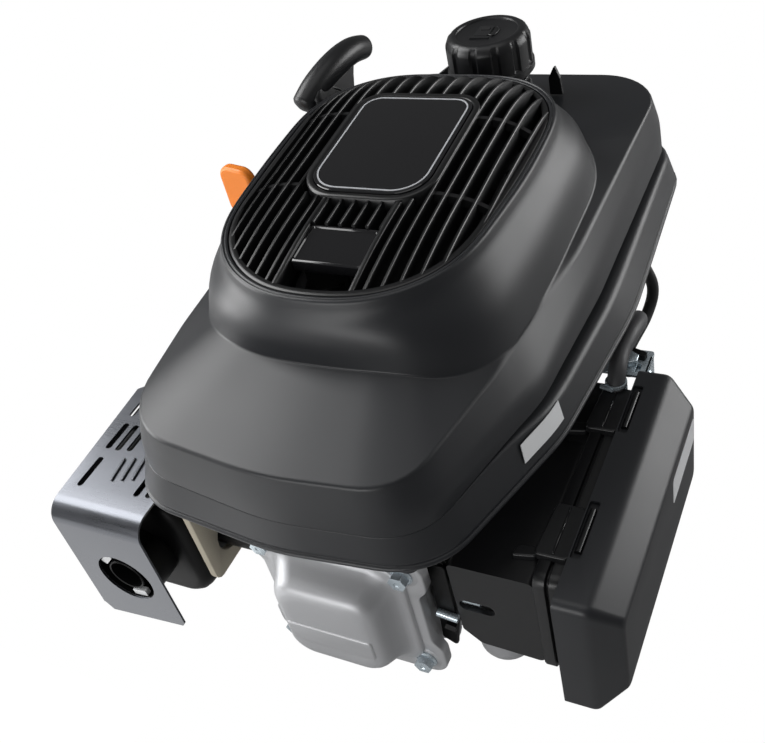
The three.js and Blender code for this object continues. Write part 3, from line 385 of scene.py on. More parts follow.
# ---- shape of the housings
RIM = rounded([(-114, -191, 42), (-8, -203, 160), (80, -195, 44), (113, -90, 120), (123, 20, 260),
               (114, 197, 40), (-128, 197, 56), (-133, 0, 150), (-127, -90, 120)])
FOLD = rounded([(-111, -184, 46), (-8, -199, 160), (74, -192, 38), (104, -90, 100), (109, 0, 200),
                (107, 192, 38), (-122, 192, 52), (-125, 0, 200), (-122, -90, 100)])
CREASE = rounded([(-105, -181, 48), (-8, -194, 200), (68, -187, 34), (86, -100, 150), (99, 0, 200),
                  (104, 190, 42), (-118, 190, 58), (-118, 0, 200), (-114, -100, 150)])
FOOT = rounded([(-109, -125, 78), (-8, -129, 300), (86, -124, 54), (93, -20, 300), (93, 110, 60),
                (-109, 110, 60), (-110, -20, 300)])
MOUTH = rounded([(-80, -113, 76), (-10, -118, 300), (62, -114, 62), (71, 0, 400), (68, 100, 55),
                 (-94, 100, 55), (-89, 0, 400)])


def reach(outline, angle):
    """Distance from the housings' centre to an outline at an angle."""
    dx, dy = cos(angle), sin(angle)
    far = 0
    for (x0, y0), (x1, y1) in zip(outline, outline[1:] + outline[:1]):
        ex, ey, ax = x1 - x0, y1 - y0, x0 - HOUSING_X
        det = ex * dy - ey * dx
        if abs(det) < 1e-9:
            continue
        run, on = (ex * y0 - ey * ax) / det, (dx * y0 - dy * ax) / det
        if run > 0 and -1e-6 <= on <= 1 + 1e-6:
            far = max(far, run)
    return far


def rise(front, rear):
    """A height that runs evenly from the front of the housings to their rear."""
    return lambda y: front + (rear - front) * (y + 200) / 400


crease_height, foot_height, mouth_height = rise(205, 224), rise(221, 234), rise(258, 270)
band_height = rise(187, 206)


def ease(value, low, high):
    """Runs smoothly from 0 at low to 1 at high."""
    t = max(0.0, min(1.0, (value - low) / (high - low)))
    return t * t * (3 - 2 * t)


def fold_height(y):
    """The fold drops a little across the front."""
    return FOLD_Z - 4.5 * (1 - ease(y, -190, -110))


def eased(ring, passes=24):
    """A ring of reaches whose curvature changes gently where its corners start."""
    for _ in range(passes):
        ring = [(ring[i - 1] + 2 * ring[i] + ring[(i + 1) % SIDES]) / 4 for i in range(SIDES)]
    return ring


ANGLES = around(SIDES)
REACH = {name: [reach(outline, a) for a in ANGLES] for name, outline in
         (("rim", RIM), ("fold", FOLD), ("crease", CREASE), ("foot", FOOT), ("mouth", MOUTH))}
REACH.update({name: eased(REACH[name]) for name in ("foot", "mouth")})


def groove(angle):
    """How open the groove between cover and housing is: shut at the front, open at the sides."""
    back = sin(angle)
    start = -0.93 if cos(angle) > 0 else -0.2
    return ease(back, start, start + 0.45)


def housing_skin(section):
    """Rows of points round the housings; section(i, angle) gives (radius, z) points at one angle."""
    columns = [section(i, angle) for i, angle in enumerate(ANGLES)]
    return [[polar(column[k][0], a, column[k][1], MIDDLE) for column, a in zip(columns, ANGLES)]
            for k in range(len(columns[0]))]


def shell(name, section, stands_for, close_rows=False):
    """A charcoal skin round the housings, shaded flat across its broad faces."""
    skin = piece(name, *grid(housing_skin(section), close_rows), CHARCOAL)
    skin.modifiers.new("flat_faces", "WEIGHTED_NORMAL").keep_sharp = True
    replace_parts(skin, stands_for)


def cover_section(i, angle):
    """The top cover's wall at one angle, out over the crease, up the dome and back inside."""
    fold, crease, foot, mouth = (REACH[k][i] for k in ("fold", "crease", "foot", "mouth"))
    sine = sin(angle)
    zf = fold_height(fold * sine) + 2.2 * groove(angle)
    zb, zc = band_height(fold * sine), crease_height(crease * sine)
    zt = min(foot_height(foot * sine), zc + 1.5 + 0.24 * max(0.0, crease - foot))
    zm = mouth_height(mouth * sine)
    middle = ((foot + mouth + 6.5) / 2 + 3.2, (zt + zm - 8) / 2 + 3.2)
    corners = [
        (fold - 5, zf + 1), (fold, zf), (fold - 1.5, zb), (crease, zc), (foot, zt), middle,
        (mouth + 6.5, zm - 8), (mouth + 4.6, zm - 1.2), (mouth + 3.2, zm - 0.4), (mouth + 2.5, zm - 1.3),
        (mouth + 1.7, zm - 0.5), (mouth + 0.2, zm - 0.9), (mouth + 0.1, zm - 8), (mouth + 3, zm - 13),
        (foot - WALL, zt - WALL), (crease - WALL, zc - WALL),
    ]
    radii = [0, 0.6, 7, 2.0, 1.0, 11, 5, 1.5, 0.5, 0.4, 0.5, 0.5, 0, 0, 0, 0]
    return fillet(corners, radii)


def housing_section(i, angle):
    """The blower housing's band at one angle: rim bead, wall and the groove under the fold."""
    rim, fold = REACH["rim"][i], REACH["fold"][i]
    sine = sin(angle)
    open_ = groove(angle)
    zf = fold_height(fold * sine)
    corners = [
        (rim - 4, RIM_Z + 1.5), (rim - 2.2, RIM_Z), (rim, RIM_Z), (rim + 0.5, RIM_Z + 1.3),
        (rim - 0.2, RIM_Z + 2.5), (rim - 1.3, RIM_Z + 3), (rim - 0.9, RIM_Z + 4.5),
        (fold + 4.2 * open_, zf - 4.6 * open_), (fold - 4.6 * open_ - 0.4, zf - 3.4 * open_),
        (fold - 5, zf + 0.8),
    ]
    radii = [0, 0.5, 0.5, 0.6, 0.5, 0.5, 0.8, 1 + 3 * open_, 0.6, 0]
    return fillet(corners, radii)


def build_top_cover():
    """The domed cover with the collar round the filler neck and the rope's guide."""
    shell("top_cover_shell", cover_section, "top_cover", close_rows=True)
    collar = [(19.5, 226), (25.5, 226), (25.5, 238), (24.6, 239.4), (21, 239.6), (19.5, 238)]
    piece("filler_collar", *ring_of(collar, 72, NECK), CHARCOAL, sharp=40)
    guide = [(3.4, 219), (10.5, 219), (9.4, 232), (8.4, 234.6), (6, 235), (3.4, 234)]
    piece("rope_guide", *ring_of(guide, 48, HANDLE), SATIN, sharp=40)


def build_blower_housing():
    """The band under the cover, its floor with the fan's hole, and the duct over the cylinder."""
    shell("blower_housing_band", housing_section, "blower_housing")
    floor = [[polar(r - 3, a, z, MIDDLE) for r, a in zip(REACH["rim"], ANGLES)]
             for z in (RIM_Z + 1.5, RIM_Z + 6)]
    deck = piece("blower_housing_floor", *loft(floor), CHARCOAL, smooth=False)
    inside = (-55, 55, -177, -103)
    low, high = 140, 175
    cut(deck, [rod((0, 0, low), (0, 0, high), 74, 96), box(*inside, low, high),
               rod((66, 140, low), (66, 140, high), 7, 32)])
    duct = prism(rectangle(-58, 58, -180, -100, 6), 131, RIM_Z + 2)
    wall = piece("blower_duct", *duct, CHARCOAL, smooth=False)
    cut(wall, [box(*inside, 120, RIM_Z + 8)])


# ---- grille and decal
def crown(y):
    """Height of the grille along its middle."""
    return 274 + 0.085 * y


def grille_top(x, y):
    """Height of the grille's domed top, which drops towards its oval frame."""
    dx = x - HOUSING_X
    share = hypot(dx, y) / max(1e-6, reach(MOUTH, atan2(y, dx) % (2 * pi)))
    drop = max(0.0, (share - 0.5) / 0.5) ** 2.6
    rim = mouth_height(y) - 1.5
    return crown(y) + (rim - crown(y)) * min(1.0, drop)


def span(x, inset):
    """The front and rear y of the grille's frame at x."""
    cuts = []
    for (x0, y0), (x1, y1) in zip(MOUTH, MOUTH[1:] + MOUTH[:1]):
        if (x0 - x) * (x1 - x) < 0:
            cuts.append(y0 + (y1 - y0) * (x - x0) / (x1 - x0))
    return (min(cuts) + inset, max(cuts) - inset) if cuts else (0, 0)


def rib_along(x, y0, y1, half=1.0, steps=26, depth=13.0):
    """A rib that runs front to back under the domed top, with a rounded crest."""
    rows = []
    for k in range(steps + 1):
        y = y0 + (y1 - y0) * k / steps
        z = grille_top(x, y)
        rows.append([(x - half * 0.75, y, z - depth), (x - half, y, z - 0.8), (x - half * 0.55, y, z - 0.12),
                     (x + half * 0.55, y, z - 0.12), (x + half, y, z - 0.8), (x + half * 0.75, y, z - depth)])
    return loft(rows)


def bar_across(y, x0, x1, half=1.5, depth=5.0, drop=2.0, steps=16):
    """A square bar that runs left to right, a little below the ribs' crests."""
    rows = []
    for k in range(steps + 1):
        x = x0 + (x1 - x0) * k / steps
        z = grille_top(x, y) - drop
        rows.append([(x, y - half, z - depth), (x, y - half, z), (x, y + half, z), (x, y + half, z - depth)])
    return loft(rows)


def merged(parts):
    """One mesh from several (points, faces) pairs."""
    points, faces = [], []
    for some, sides in parts:
        shift = len(points)
        points += some
        faces += [tuple(i + shift for i in face) for face in sides]
    return points, faces


def raised_ring(outer, inner, lift, base, rounding=0.8):
    """A raised frame between two outlines of equal count that follows the crown's slope."""
    rows = []
    for share, up in ((0, -base), (0, lift - rounding), (0.12, lift), (0.8, lift), (1, lift - rounding),
                      (1, -base)):
        between = [(ox + (ix - ox) * share, oy + (iy - oy) * share)
                   for (ox, oy), (ix, iy) in zip(outer, inner)]
        rows.append([(x, y, crown(y) + up) for x, y in between])
    return grid(rows, close_rows=True)


def grille_ribs():
    """Ribs in front of, behind and beside the decal's frame, and a thicker pair beside the badge."""
    x0, x1, y0, y1 = (side + FRAME_WIDTH * way for side, way in zip(DECAL, (-1, 1, -1, 1)))
    edge, pitch = 4.2, 8.2
    ribs = []
    for k in range(-10, 11):
        x = HOUSING_X + 4 + pitch * (k - 0.5)
        front, rear = span(x, edge)
        if rear - front < 12:
            continue
        if not x0 + 1 < x < x1 - 1:
            ribs.append(rib_along(x, front, rear))
        elif BADGE[0] - 2 < x < BADGE[1] + 2:
            ribs.append(rib_along(x, BADGE[3], y0 + 1, steps=6))
        else:
            ribs.append(rib_along(x, front, y0 + 4, steps=14))
    for k in range(7):
        x = x0 + 8 + (x1 - x0 - 16) * k / 6
        ribs.append(rib_along(x, y1 - 2, span(x, edge)[1], steps=10))
    for x in BADGE[:2]:
        ribs.append(rib_along(x, span(x, edge)[0], y0 + 1, half=1.5, steps=16))
    left, right = -97, 73
    bars = [bar_across(-34, left + 6, x0 + 1), bar_across(-34, x1 - 1, right - 7),
            bar_across(36, left + 4, x0 + 1), bar_across(36, x1 - 1, right - 5)]
    return ribs, bars


def build_grille():
    """The oval frame, its ribs and cross bars, the decal's raised frame and the badge."""
    ring = []
    for inset, up in ((0.3, -9), (0.3, -1.4), (0.9, -0.9), (4.0, -0.5), (4.6, -1.2), (4.6, -9)):
        ring.append([polar(r - inset, a, mouth_height((r - inset) * sin(a)) + up, MIDDLE)
                     for r, a in zip(REACH["mouth"], ANGLES)])
    frame_ring = piece("grille_frame", *grid(ring, close_rows=True), BLACK)
    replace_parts(frame_ring, "grille")
    ribs, bars = grille_ribs()
    piece("grille_ribs", *merged(ribs), BLACK, sharp=50)
    piece("grille_cross_bars", *merged(bars), BLACK, sharp=40)
    surround = raised_ring(decal_outline(-FRAME_WIDTH, 12), decal_outline(0, 12), 0.9, 6)
    piece("decal_surround", *surround, BLACK, sharp=60)
    build_badge()


def build_badge():
    """A plain plate in front of the decal, with an open slot in front of it."""
    x0, x1, y0, y1 = BADGE
    middle = (x0 + x1) / 2
    front, rear = grille_top(middle, y0) - 2, grille_top(middle, y1) - 2
    rows = []
    for lift, inset in ((-6, 0), (-0.6, 0), (0, 0.6), (0, 1.6), (-0.9, 1.9), (-0.9, 3)):
        outline = rectangle(x0 + 1 + inset, x1 - 1 - inset, y0 + inset, y1 - inset, 2.4 - inset * 0.5, 4)
        rows.append([(x, y, front + (rear - front) * (y - y0) / (y1 - y0) + lift) for x, y in outline])
    piece("badge_plate", *loft(rows), GLOSS, sharp=40)


def decal_outline(inset, steps=14):
    """The decal's outline drawn in by inset: its front corners are rounder than its rear ones."""
    x0, x1, y0, y1 = DECAL[0] + inset, DECAL[1] - inset, DECAL[2] + inset, DECAL[3] - inset
    front, rear = 20 - inset, 13 - inset
    return rounded([(x0, y0, front), (x1, y0, front), (x1, y1, rear), (x0, y1, rear)], steps)


def build_decal():
    """A plain gloss plate with a thin silver line inside its edge."""
    rows = [[(x, y, crown(y) + lift) for x, y in decal_outline(inset)]
            for inset, lift in ((0, 0.3), (0, 1.2), (0.4, 1.5))]
    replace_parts(piece("decal_plate_gloss", *loft(rows), GLOSS, sharp=30), "decal_plate")
    outer, inner = decal_outline(2.2), decal_outline(3.1)
    rows = [[(x, y, crown(y) + lift) for x, y in line] for line, lift in
            ((outer, 1.4), (outer, 1.75), (inner, 1.75), (inner, 1.4))]
    piece("decal_border", *grid(rows, close_rows=True), SILVER_LINE, sharp=30)


# ---- filler cap, handle, dipstick
def build_fuel_cap():
    """A faceted cap with a lower flange, a recessed top and a plain fuel pump sign."""
    facets, facet_depth = 12, 1.5
    profile = [(24, 250.3, 0), (28.4, 250.3, 0), (29, 251, 0), (29, 255.4, 0), (28.2, 256.2, 0.5),
               (28.1, 257.4, 1), (28.1, 271.6, 1), (27.9, 273, 0.9), (26.2, 276.6, 0.35), (24.4, 278, 0),
               (23, 278.5, 0), (21.4, 278.6, 0), (20.6, 278.2, 0), (20.2, 277.3, 0), (19.6, 277.1, 0)]
    rows = [[polar(radius - facet_depth * share * ease(cos(facets * a), 0.35, 0.8), a, z, NECK)
             for a in around(240)] for radius, z, share in profile]
    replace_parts(piece("fuel_cap_body", *loft(rows), SATIN, "fuel_cap", sharp=35), "fuel_cap")
    x, y, z = NECK[0] - 2, NECK[1], 277
    body = merged([prism(rectangle(x - 5, x + 5, y - 6.5, y + 8, 1.2), z, z + 0.9),
                   prism(rectangle(x - 7, x + 7, y - 9.5, y - 7.1, 0.8), z, z + 0.9)])
    piece("cap_pump_sign", *body, SATIN, "fuel_cap", smooth=False)
    window = prism(rectangle(x - 3.3, x + 3.3, y + 1.6, y + 5.8, 0.8), z + 0.9, z + 1.2)
    piece("cap_pump_window", *window, GLOSS, "fuel_cap", smooth=False)
    hose = [(x + 5, y - 4, z + 0.5), (x + 8, y - 5, z + 0.5), (x + 9.4, y - 1.4, z + 0.5),
            (x + 9.2, y + 4, z + 0.5), (x + 6.6, y + 7.6, z + 0.5)]
    piece("cap_pump_hose", *tube(hose, 0.6, 10, 5), SATIN, "fuel_cap")


def build_starter_handle():
    """A curved grip on a tapered web and a stem that stands on the rope guide."""
    hx, hy = HANDLE
    path = [(hx - 12, hy - 38, 257), (hx - 7, hy - 22, 265.5), (hx - 2, hy - 2, 270.5),
            (hx + 1, hy + 18, 270.5), (hx + 2, hy + 37, 265)]

    def grip(share):
        far = abs(2 * share - 1)
        end = sqrt(max(0.12, 1 - max(0.0, (far - 0.9) / 0.105) ** 2))
        return (9.3 - 1.2 * far * far) * end

    handle = piece("starter_grip", *tube(path, grip, 32, 12), SATIN, "starter_handle", sharp=60)
    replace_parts(handle, "starter_handle")
    rows = []
    for z, front, rear, half in ((236, 24, 8, 6.5), (240, 26, 9, 6.5), (248, 30, 12, 5.6), (256, 34, 17, 5),
                                 (262, 35, 22, 4.6), (266, 31, 25, 4.2)):
        rows.append([(hx - 1 - (z - 236) * 0.09 + x, hy + y, z)
                     for x, y in rectangle(-half, half, -front, rear, half * 0.85, 5)])
    piece("starter_handle_web", *loft(rows), SATIN, "starter_handle", sharp=50)
    for side in (-1, 1):
        ridge = [(hx - 2 + side * 4.4, hy + side, 246), (hx - 4 + side * 5.4, hy - 10, 257),
                 (hx - 7 + side * 5.8, hy - 20, 264)]
        piece(f"starter_handle_ridge_{side + 2}", *tube(ridge, 1.3, 10, 6), SATIN, "starter_handle")


def build_dipstick():
    """An orange paddle on a round plug, with the flat blade that reaches into the sump."""
    turn = radians(-12)
    c, s = cos(turn), sin(turn)

    def stand(mesh):
        return [(DIPSTICK[0] + x * c - y * s, DIPSTICK[1] + x * s + y * c, z)
                for x, y, z in mesh[0]], mesh[1]

    paddle = stand(prism(rectangle(-14.5, 14.5, 199, 238, 9, 8), -4, 4, "y"))
    tab = piece("dipstick_paddle", *paddle, ORANGE, "dipstick", sharp=60)
    soften(tab, 2.6, 4)
    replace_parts(tab, "dipstick")
    plug = [(0, 197.4), (10.6, 197.4), (11, 197.9), (11, 202.6), (10.4, 203.4), (7, 204.5), (6, 209),
            (0, 210)]
    piece("dipstick_plug", *lathe(plug, 48, DIPSTICK), ORANGE, "dipstick", sharp=40)
    blade = piece("dipstick_blade", *stand(box(-3, 3, -0.6, 0.6, 112, 198)), STEEL, "dipstick", smooth=False)
    soften(blade, 0.25, 2, 32)


def build_top_fins():
    """Two small gussets beside the filler neck."""
    left = [(-46, 228), (-34.8, 228), (-34.8, 247.6), (-36.2, 248.2), (-46, 241.4)]
    right = [(35, 228), (44, 228), (43, 240), (40, 248), (38.8, 247.4), (35, 240)]
    for label, outline in (("left", left), ("right", right)):
        plate(f"neck_fin_{label}", prism(outline, 151, 154.2, "y"), SATIN, 0.7, 2, 32)


# ---- exhaust
SHIELD = dict(left=-187.5, right=-118.5, front=-197, rear=-81, top=130, bend=13, sheet=1.5)
SHIELD_SLOTS = ((-177.5, -175, -150), (-179, -142.5, -119), (-181, -112.5, -90), (-171, -142.5, -119),
                (-172.5, -112.5, -90), (-162.5, -141, -119), (-164, -112.5, -90), (-134, -173, -150),
                (-125.5, -172, -150), (-134, -142, -119), (-125.5, -142, -119))      # x, front y, rear y


def shield_sheet():
    """Points and faces of the bent sheet: a flat top, a round bend and a flat front."""
    s = SHIELD
    outer, inner = [], []
    for i in range(17):
        angle = pi / 2 * (1 + i / 16)
        cy, cz = s["front"] + s["bend"], s["top"] - s["bend"]
        for line, radius in ((outer, s["bend"]), (inner, s["bend"] - s["sheet"])):
            line.append((cy + radius * cos(angle), cz + radius * sin(angle)))
    profile = [(s["rear"], s["top"]), *outer, (s["front"], 24), (s["front"] + s["sheet"], 24), *inner[::-1],
               (s["rear"], s["top"] - s["sheet"])]
    rows = []
    for x, lean in ((s["left"], -6), (s["right"], 0)):
        rows.append([(x + lean * max(0, (y + 185) / 104), y, z) for y, z in profile])
    return loft(rows)


def build_muffler_shield():
    """A sheet bent over the muffler, with rows of slots on top and a round hole in front."""
    s = SHIELD
    hx, hz = SHIELD_HOLE
    shield = piece("muffler_shield_sheet", *shield_sheet(), SHIELD_STEEL, smooth=False)
    lower_edge = [(-200, 10), (-187, 34), (-182, 26.5), (-121, 33), (-116, 40), (-100, 60), (-100, 10)]
    corner = [(-210, -60), (-210, -95), (-194, -95), (-193, -88), (-188, -83.5), (-181, -82), (-150, -82),
              (-150, -60)]
    slots = [prism(rectangle(x - 2.1, x + 2.1, y0, y1, 2.05, 5), 120, 140) for x, y0, y1 in SHIELD_SLOTS]
    cut(shield, [rod((hx, -205, hz), (hx, -185, hz), 20.5, 64), *slots,
                 prism(lower_edge[::-1], -205, -190, "y"), prism(corner, 120, 140)])
    finish(shield, SHIELD_STEEL, sharp=28)
    soften(shield, 0.45)
    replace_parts(shield, "muffler_shield")
    for k in range(3):
        x, y, z = -158 + 7 * k, -166 + 2 * k, s["top"] + 0.1
        bar = [(x, y, z), (x - 1.2, y + 9, z), (x - 2.4, y + 18, z)]
        piece(f"shield_emboss_{k + 1}", *tube(bar, 1.5, 12, 6, 0.5), SHIELD_STEEL)
    # A black sheet just under the slotted top, so the slots read dark: painted shade.
    slot_shade = prism(rectangle(s["left"] + 3, s["right"] - 2, -174, s["rear"] - 3, 4), 124.6, 126)
    piece("slot_shade_sheet", *slot_shade, PAINT, smooth=False)
    points, faces = ring_of([(22, -195), (22, -172.4), (21, -172.4), (21, -195)], 56)
    piece("shield_hole_sleeve", [(x + hx, z, hz + y) for x, y, z in points], faces, PAINT, sharp=40)
    for label, x, z, turn in (("upper", -162, 85.5, 48), ("lower", -148, 55.5, 5)):
        tab = prism(rectangle(-5.5, 5.5, -2.4, 2.4, 0.8, 3), -194.6, -191, "y")
        cosine, sine = cos(radians(turn)), sin(radians(turn))
        placed = [(x + a * cosine - c * sine, y, z + a * sine + c * cosine) for a, y, c in tab[0]]
        piece(f"spark_screen_tab_{label}", placed, tab[1], LABEL, sharp=40)


def build_muffler():
    """A pressed black can with a seam round it, its inlet and its outlet pipe."""
    rows = []
    for y, inset in ((-172, 16), (-172, 9), (-170.8, 4.5), (-168, 1.6), (-164, 0.3), (-160, 0), (-133, 0),
                     (-132.4, -2.2), (-129.6, -2.2), (-129, 0), (-100, 0), (-96, 0.3), (-92, 1.6),
                     (-89.2, 4.5), (-88, 9), (-88, 16)):
        shape = rectangle(-186 + inset, -110 - inset, 30 + inset, 122 - inset, 24 - min(inset, 12), 10)
        rows.append([(x, y, z) for x, z in shape])
    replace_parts(piece("muffler_can", *loft(rows), PAINT, sharp=60), "muffler")
    piece("muffler_inlet", *rod((-112, -143, 78), (-58.3, -143, 78), 12, 40), PAINT, sharp=50)
    ox, oz = OUTLET
    points, faces = lathe([(13, -171), (13, -193.4), (12.4, -194), (11.6, -193.6), (11.2, -171)], 56)
    piece("muffler_outlet_pipe", [(ox + x, z, oz + y) for x, y, z in points], faces, PAINT, sharp=40)


def screw_head(name, seat, way, radius, height, flange):
    """A flanged hex head with a chamfered, slightly dished top; way is the direction it faces."""
    turn = around(48)
    rows = [[polar(r, a, z) for a in turn] for r, z in ((flange, 0), (flange, 0.9), (radius * 1.04, 1.9))]
    for share, z in ((1, 1.9), (1, height - 0.7), (0.93, height - 0.1), (0.86, height), (0.55, height),
                     (0.45, height - 0.5)):
        row = []
        for a in turn:
            corner = radius * cos(pi / 6) / cos((a % (pi / 3)) - pi / 6)
            r = min(corner, radius * 0.985) if share > 0.9 else min(corner, radius) * share
            row.append(polar(r * share / max(share, 0.9), a, z))
        rows.append(row)
    end = tuple(Vector(seat) + Vector(way))
    return piece(name, *along((seat, end), loft(rows)), ZINC, sharp=28)


# ---- rocker cover
def stack(levels, axis, steps):
    """Rows of rounded rectangles across an axis from (place, low, high, low z, high z, radius)."""
    rows = []
    for place, low, high, z0, z1, radius in levels:
        outline = rectangle(low, high, z0, z1, radius, steps)
        rows.append([(place, a, z) if axis == "x" else (a, place, z) for a, z in outline])
    return rows


def build_rocker_cover():
    """A cast cover: bolted flange, step, scooped shoulders and a flat front with a plain raised band."""
    dome = stack([
        (-193.6, -18, 20, 58, 101, 8), (-193.2, -23, 25, 53, 106, 10), (-190, -26, 28, 50, 109, 11),
        (-180, -30, 32, 46, 113, 12), (-172, -34, 35, 45, 116, 12), (-166.3, -36, 36, 44, 116, 12),
        (-166.3, -44, 45, 36, 124, 15), (-175.2, -44, 45, 36, 124, 15),
        (-176.4, -43.2, 44.2, 36.8, 123.2, 15), (-176.8, -41.6, 42.6, 38.2, 121.8, 15),
        (-177.2, -39.8, 40.6, 39.8, 120.4, 15),
        (-179, -38, 38.6, 41.4, 118.6, 15), (-183, -35.8, 36.4, 43.4, 116.2, 15),
        (-188, -33.8, 34.6, 45, 114, 15), (-191.6, -32.4, 33.2, 46.2, 112.6, 14.6),
        (-194, -31, 31.8, 47.6, 111.2, 14), (-195.8, -29, 29.8, 49.6, 109.2, 13),
        (-196.8, -26.2, 27, 52.4, 106.4, 11), (-197.1, -22, 23, 56.6, 102, 9),
    ], "y", 10)
    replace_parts(piece("rocker_cover_dome", *loft(dome), CAST, sharp=70), "rocker_cover")
    corners = [(57, 25.5, 12), (57, 50, 9), (51, 57, 9), (51, 99, 9), (57, 106, 9), (57, 130.5, 12)]
    outline = rounded(corners + [(-x, z, r) for x, z, r in corners[::-1]], 8)
    middle = 78
    inner = [(x * 0.66, middle + (z - middle) * 0.76) for x, z in outline]
    rows = [[(x * k, y, middle + (z - middle) * k) for x, z in line] for line, y, k in (
        (inner, -166.3, 1), (outline, -166.3, 1), (outline, -172.2, 1), (outline, -173, 0.994),
        (outline, COVER_FACE_Y, 0.982), (inner, COVER_FACE_Y, 1))]
    piece("rocker_cover_flange", *grid(rows, close_rows=True), CAST, sharp=60)
    band = stack([(-196.6, -27, 28, 63, 80, 2.5), (-197.6, -26.6, 27.6, 63.4, 79.6, 2.3),
                  (-197.9, -25.8, 26.8, 64.2, 78.8, 2)], "y", 10)
    piece("rocker_cover_band", *loft(band), CAST, sharp=60)
    seat = COVER_FACE_Y - 0.3
    boss = [(9.6, COVER_FACE_Y + 1), (9.6, COVER_FACE_Y + 0.2), (9, seat), (4, seat)]
    for label, (x, z) in enumerate([(x, z) for z in BOLT_HEIGHTS for x in (-BOLT_X, BOLT_X)], 1):
        points, faces = lathe(boss, 40)
        piece(f"bolt_boss_{label}", [(x + a, c, z + b) for a, b, c in points], faces, CAST, sharp=40)
        head = screw_head(f"cover_bolt_head_{label}", (x, seat, z), (0, -1, 0), 5.6, 6.6, 6.7)
        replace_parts(head, f"rocker_cover_bolt_{label}")
        shank = rod((x, COVER_FACE_Y + 0.2, z), (x, -153, z), 3, 20)
        piece(f"cover_bolt_shank_{label}", *shank, ZINC, sharp=40)


# ---- intake side
def build_cleaner_base():
    """A box over the carburettor and the tray that holds the filter, with a seam between them."""
    front, rear = CLEANER_ENDS
    outline = rounded([(67, 62, 3), (77, 52, 4), (115, 50, 4), (115, 121, 4), (66, 121, 3.5)], 6)
    body = piece("air_cleaner_box", *prism(outline, front, -60, "y"), SATIN, sharp=50)
    room = [(62, 66), (80, 49), (112, 49), (112, 117.5), (62, 117.5)]
    vent = rectangle(68.5, 89.5, 82, 90.5, 4.2, 6)
    cut(body, [prism(room, front + 3, -59, "y"), prism(vent, -165, -155, "y")])
    finish(body, SATIN, sharp=50)
    soften(body, 2.2, 4, 50)
    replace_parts(body, "air_cleaner_base")
    duct = prism(rectangle(-62, -5, 60, 121, 5, 4), 62, 114.5, "x")
    piece("air_cleaner_duct", *duct, SATIN, smooth=False)
    piece("choke_rod", *rod((69.5, -157.5, 86.4), (80, -157.5, 86.2), 2.6, 20), ZINC, sharp=40)
    front -= 0.5
    tray = stack([(x, front + a, rear - a, 44 + a, 126 - a, radius) for x, a, radius in (
        (118, 4, 6), (130.7, 4, 6), (130.7, 1.2, 7), (130, 0.6, 7), (123, 0.6, 7), (122.4, 1.4, 6.5),
        (122.4, 2.4, 6), (121.4, 2.4, 6), (121.4, 0.8, 6.5), (120.8, 0, 7), (115.2, 0, 7),
        (114.4, 0.4, 7), (114, 1.4, 6))], "x", 8)
    piece("air_cleaner_tray", *loft(tray), SATIN, sharp=50)
    for label, y0, y1 in (("front", -148, -112), ("rear", -54, -18)):
        outline = rounded([(111, y0, 3), (130.2, y0, 3), (130.2, y1, 3), (113, y1, 3)], 4)
        plate(f"clip_pad_{label}", prism(outline, 124, 129.4), SATIN, 1.2, 3)
        hinge = rounded([(98, y0 - 1, 2), (112, y0 + 1.5, 2), (112, y0 + 9, 3), (100, y0 + 7, 3)], 4)
        plate(f"clip_lug_{label}", prism(hinge, 119, 124.6), SATIN, 1.2, 3)
        piece(f"clip_seam_{label}", *rod((121.5, y0 + 2, 129.3), (121.5, y1 - 2, 129.3), 0.7, 12), GLOSS)


def build_cleaner_cover():
    """A deep cover with broad chamfers, two clip slots on top and a plain label outside."""
    start, face = CLEANER_SPLIT + 0.3, CLEANER_FACE
    levels = ((start, -180, -4, 43, 135, 5.5), (149, -180, -4, 43, 135, 5.5),
              (face, -172, -15.2, 63, 121.4, 4.5), (face, -150, -40, 80, 104, 3))
    inside = ((start, -177, -7, 46, 132, 4), (147.5, -177, -7, 46, 132, 4),
              (face - 3, -169, -18, 65, 118.5, 3), (face - 3, -150, -40, 80, 104, 2))
    columns = []
    for out, into in zip(zip(*stack(levels, "x", 8)), zip(*stack(inside, "x", 8))):
        skin = fillet([out[3], out[2], out[1], out[0]], [0, 2.5, 3.5, 0], 5)
        columns.append(skin + [tuple(p) for p in into])
    rows = [[column[k] for column in columns] for k in range(len(columns[0]))]
    cover = piece("air_cleaner_lid", *loft(rows), CHARCOAL, "air_cleaner_cover", sharp=60)
    cut(cover, [prism(rectangle(131.6, 137.4, y0, y1, 1.6, 4), 132.6, 140)
                for y0, y1 in ((-150, -111), (-59, -20))])
    finish(cover, CHARCOAL, sharp=40)
    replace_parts(cover, "air_cleaner_cover")
    for label, y0, y1 in (("front", -145, -116), ("rear", -54, -25)):
        bar = [(134.5, y0, 133.2), (134.5, (y0 + y1) / 2, 133.4), (134.5, y1, 133.2)]
        piece(f"clip_bar_{label}", *tube(bar, 1.9, 20, 6), BLACK, "air_cleaner_cover", sharp=60)
    label = prism(rectangle(-71, -19, 96, 115, 2.5, 5), face + 0.05, face + 0.35, "x")
    piece("cover_label", *label, LABEL, "air_cleaner_cover", smooth=False)


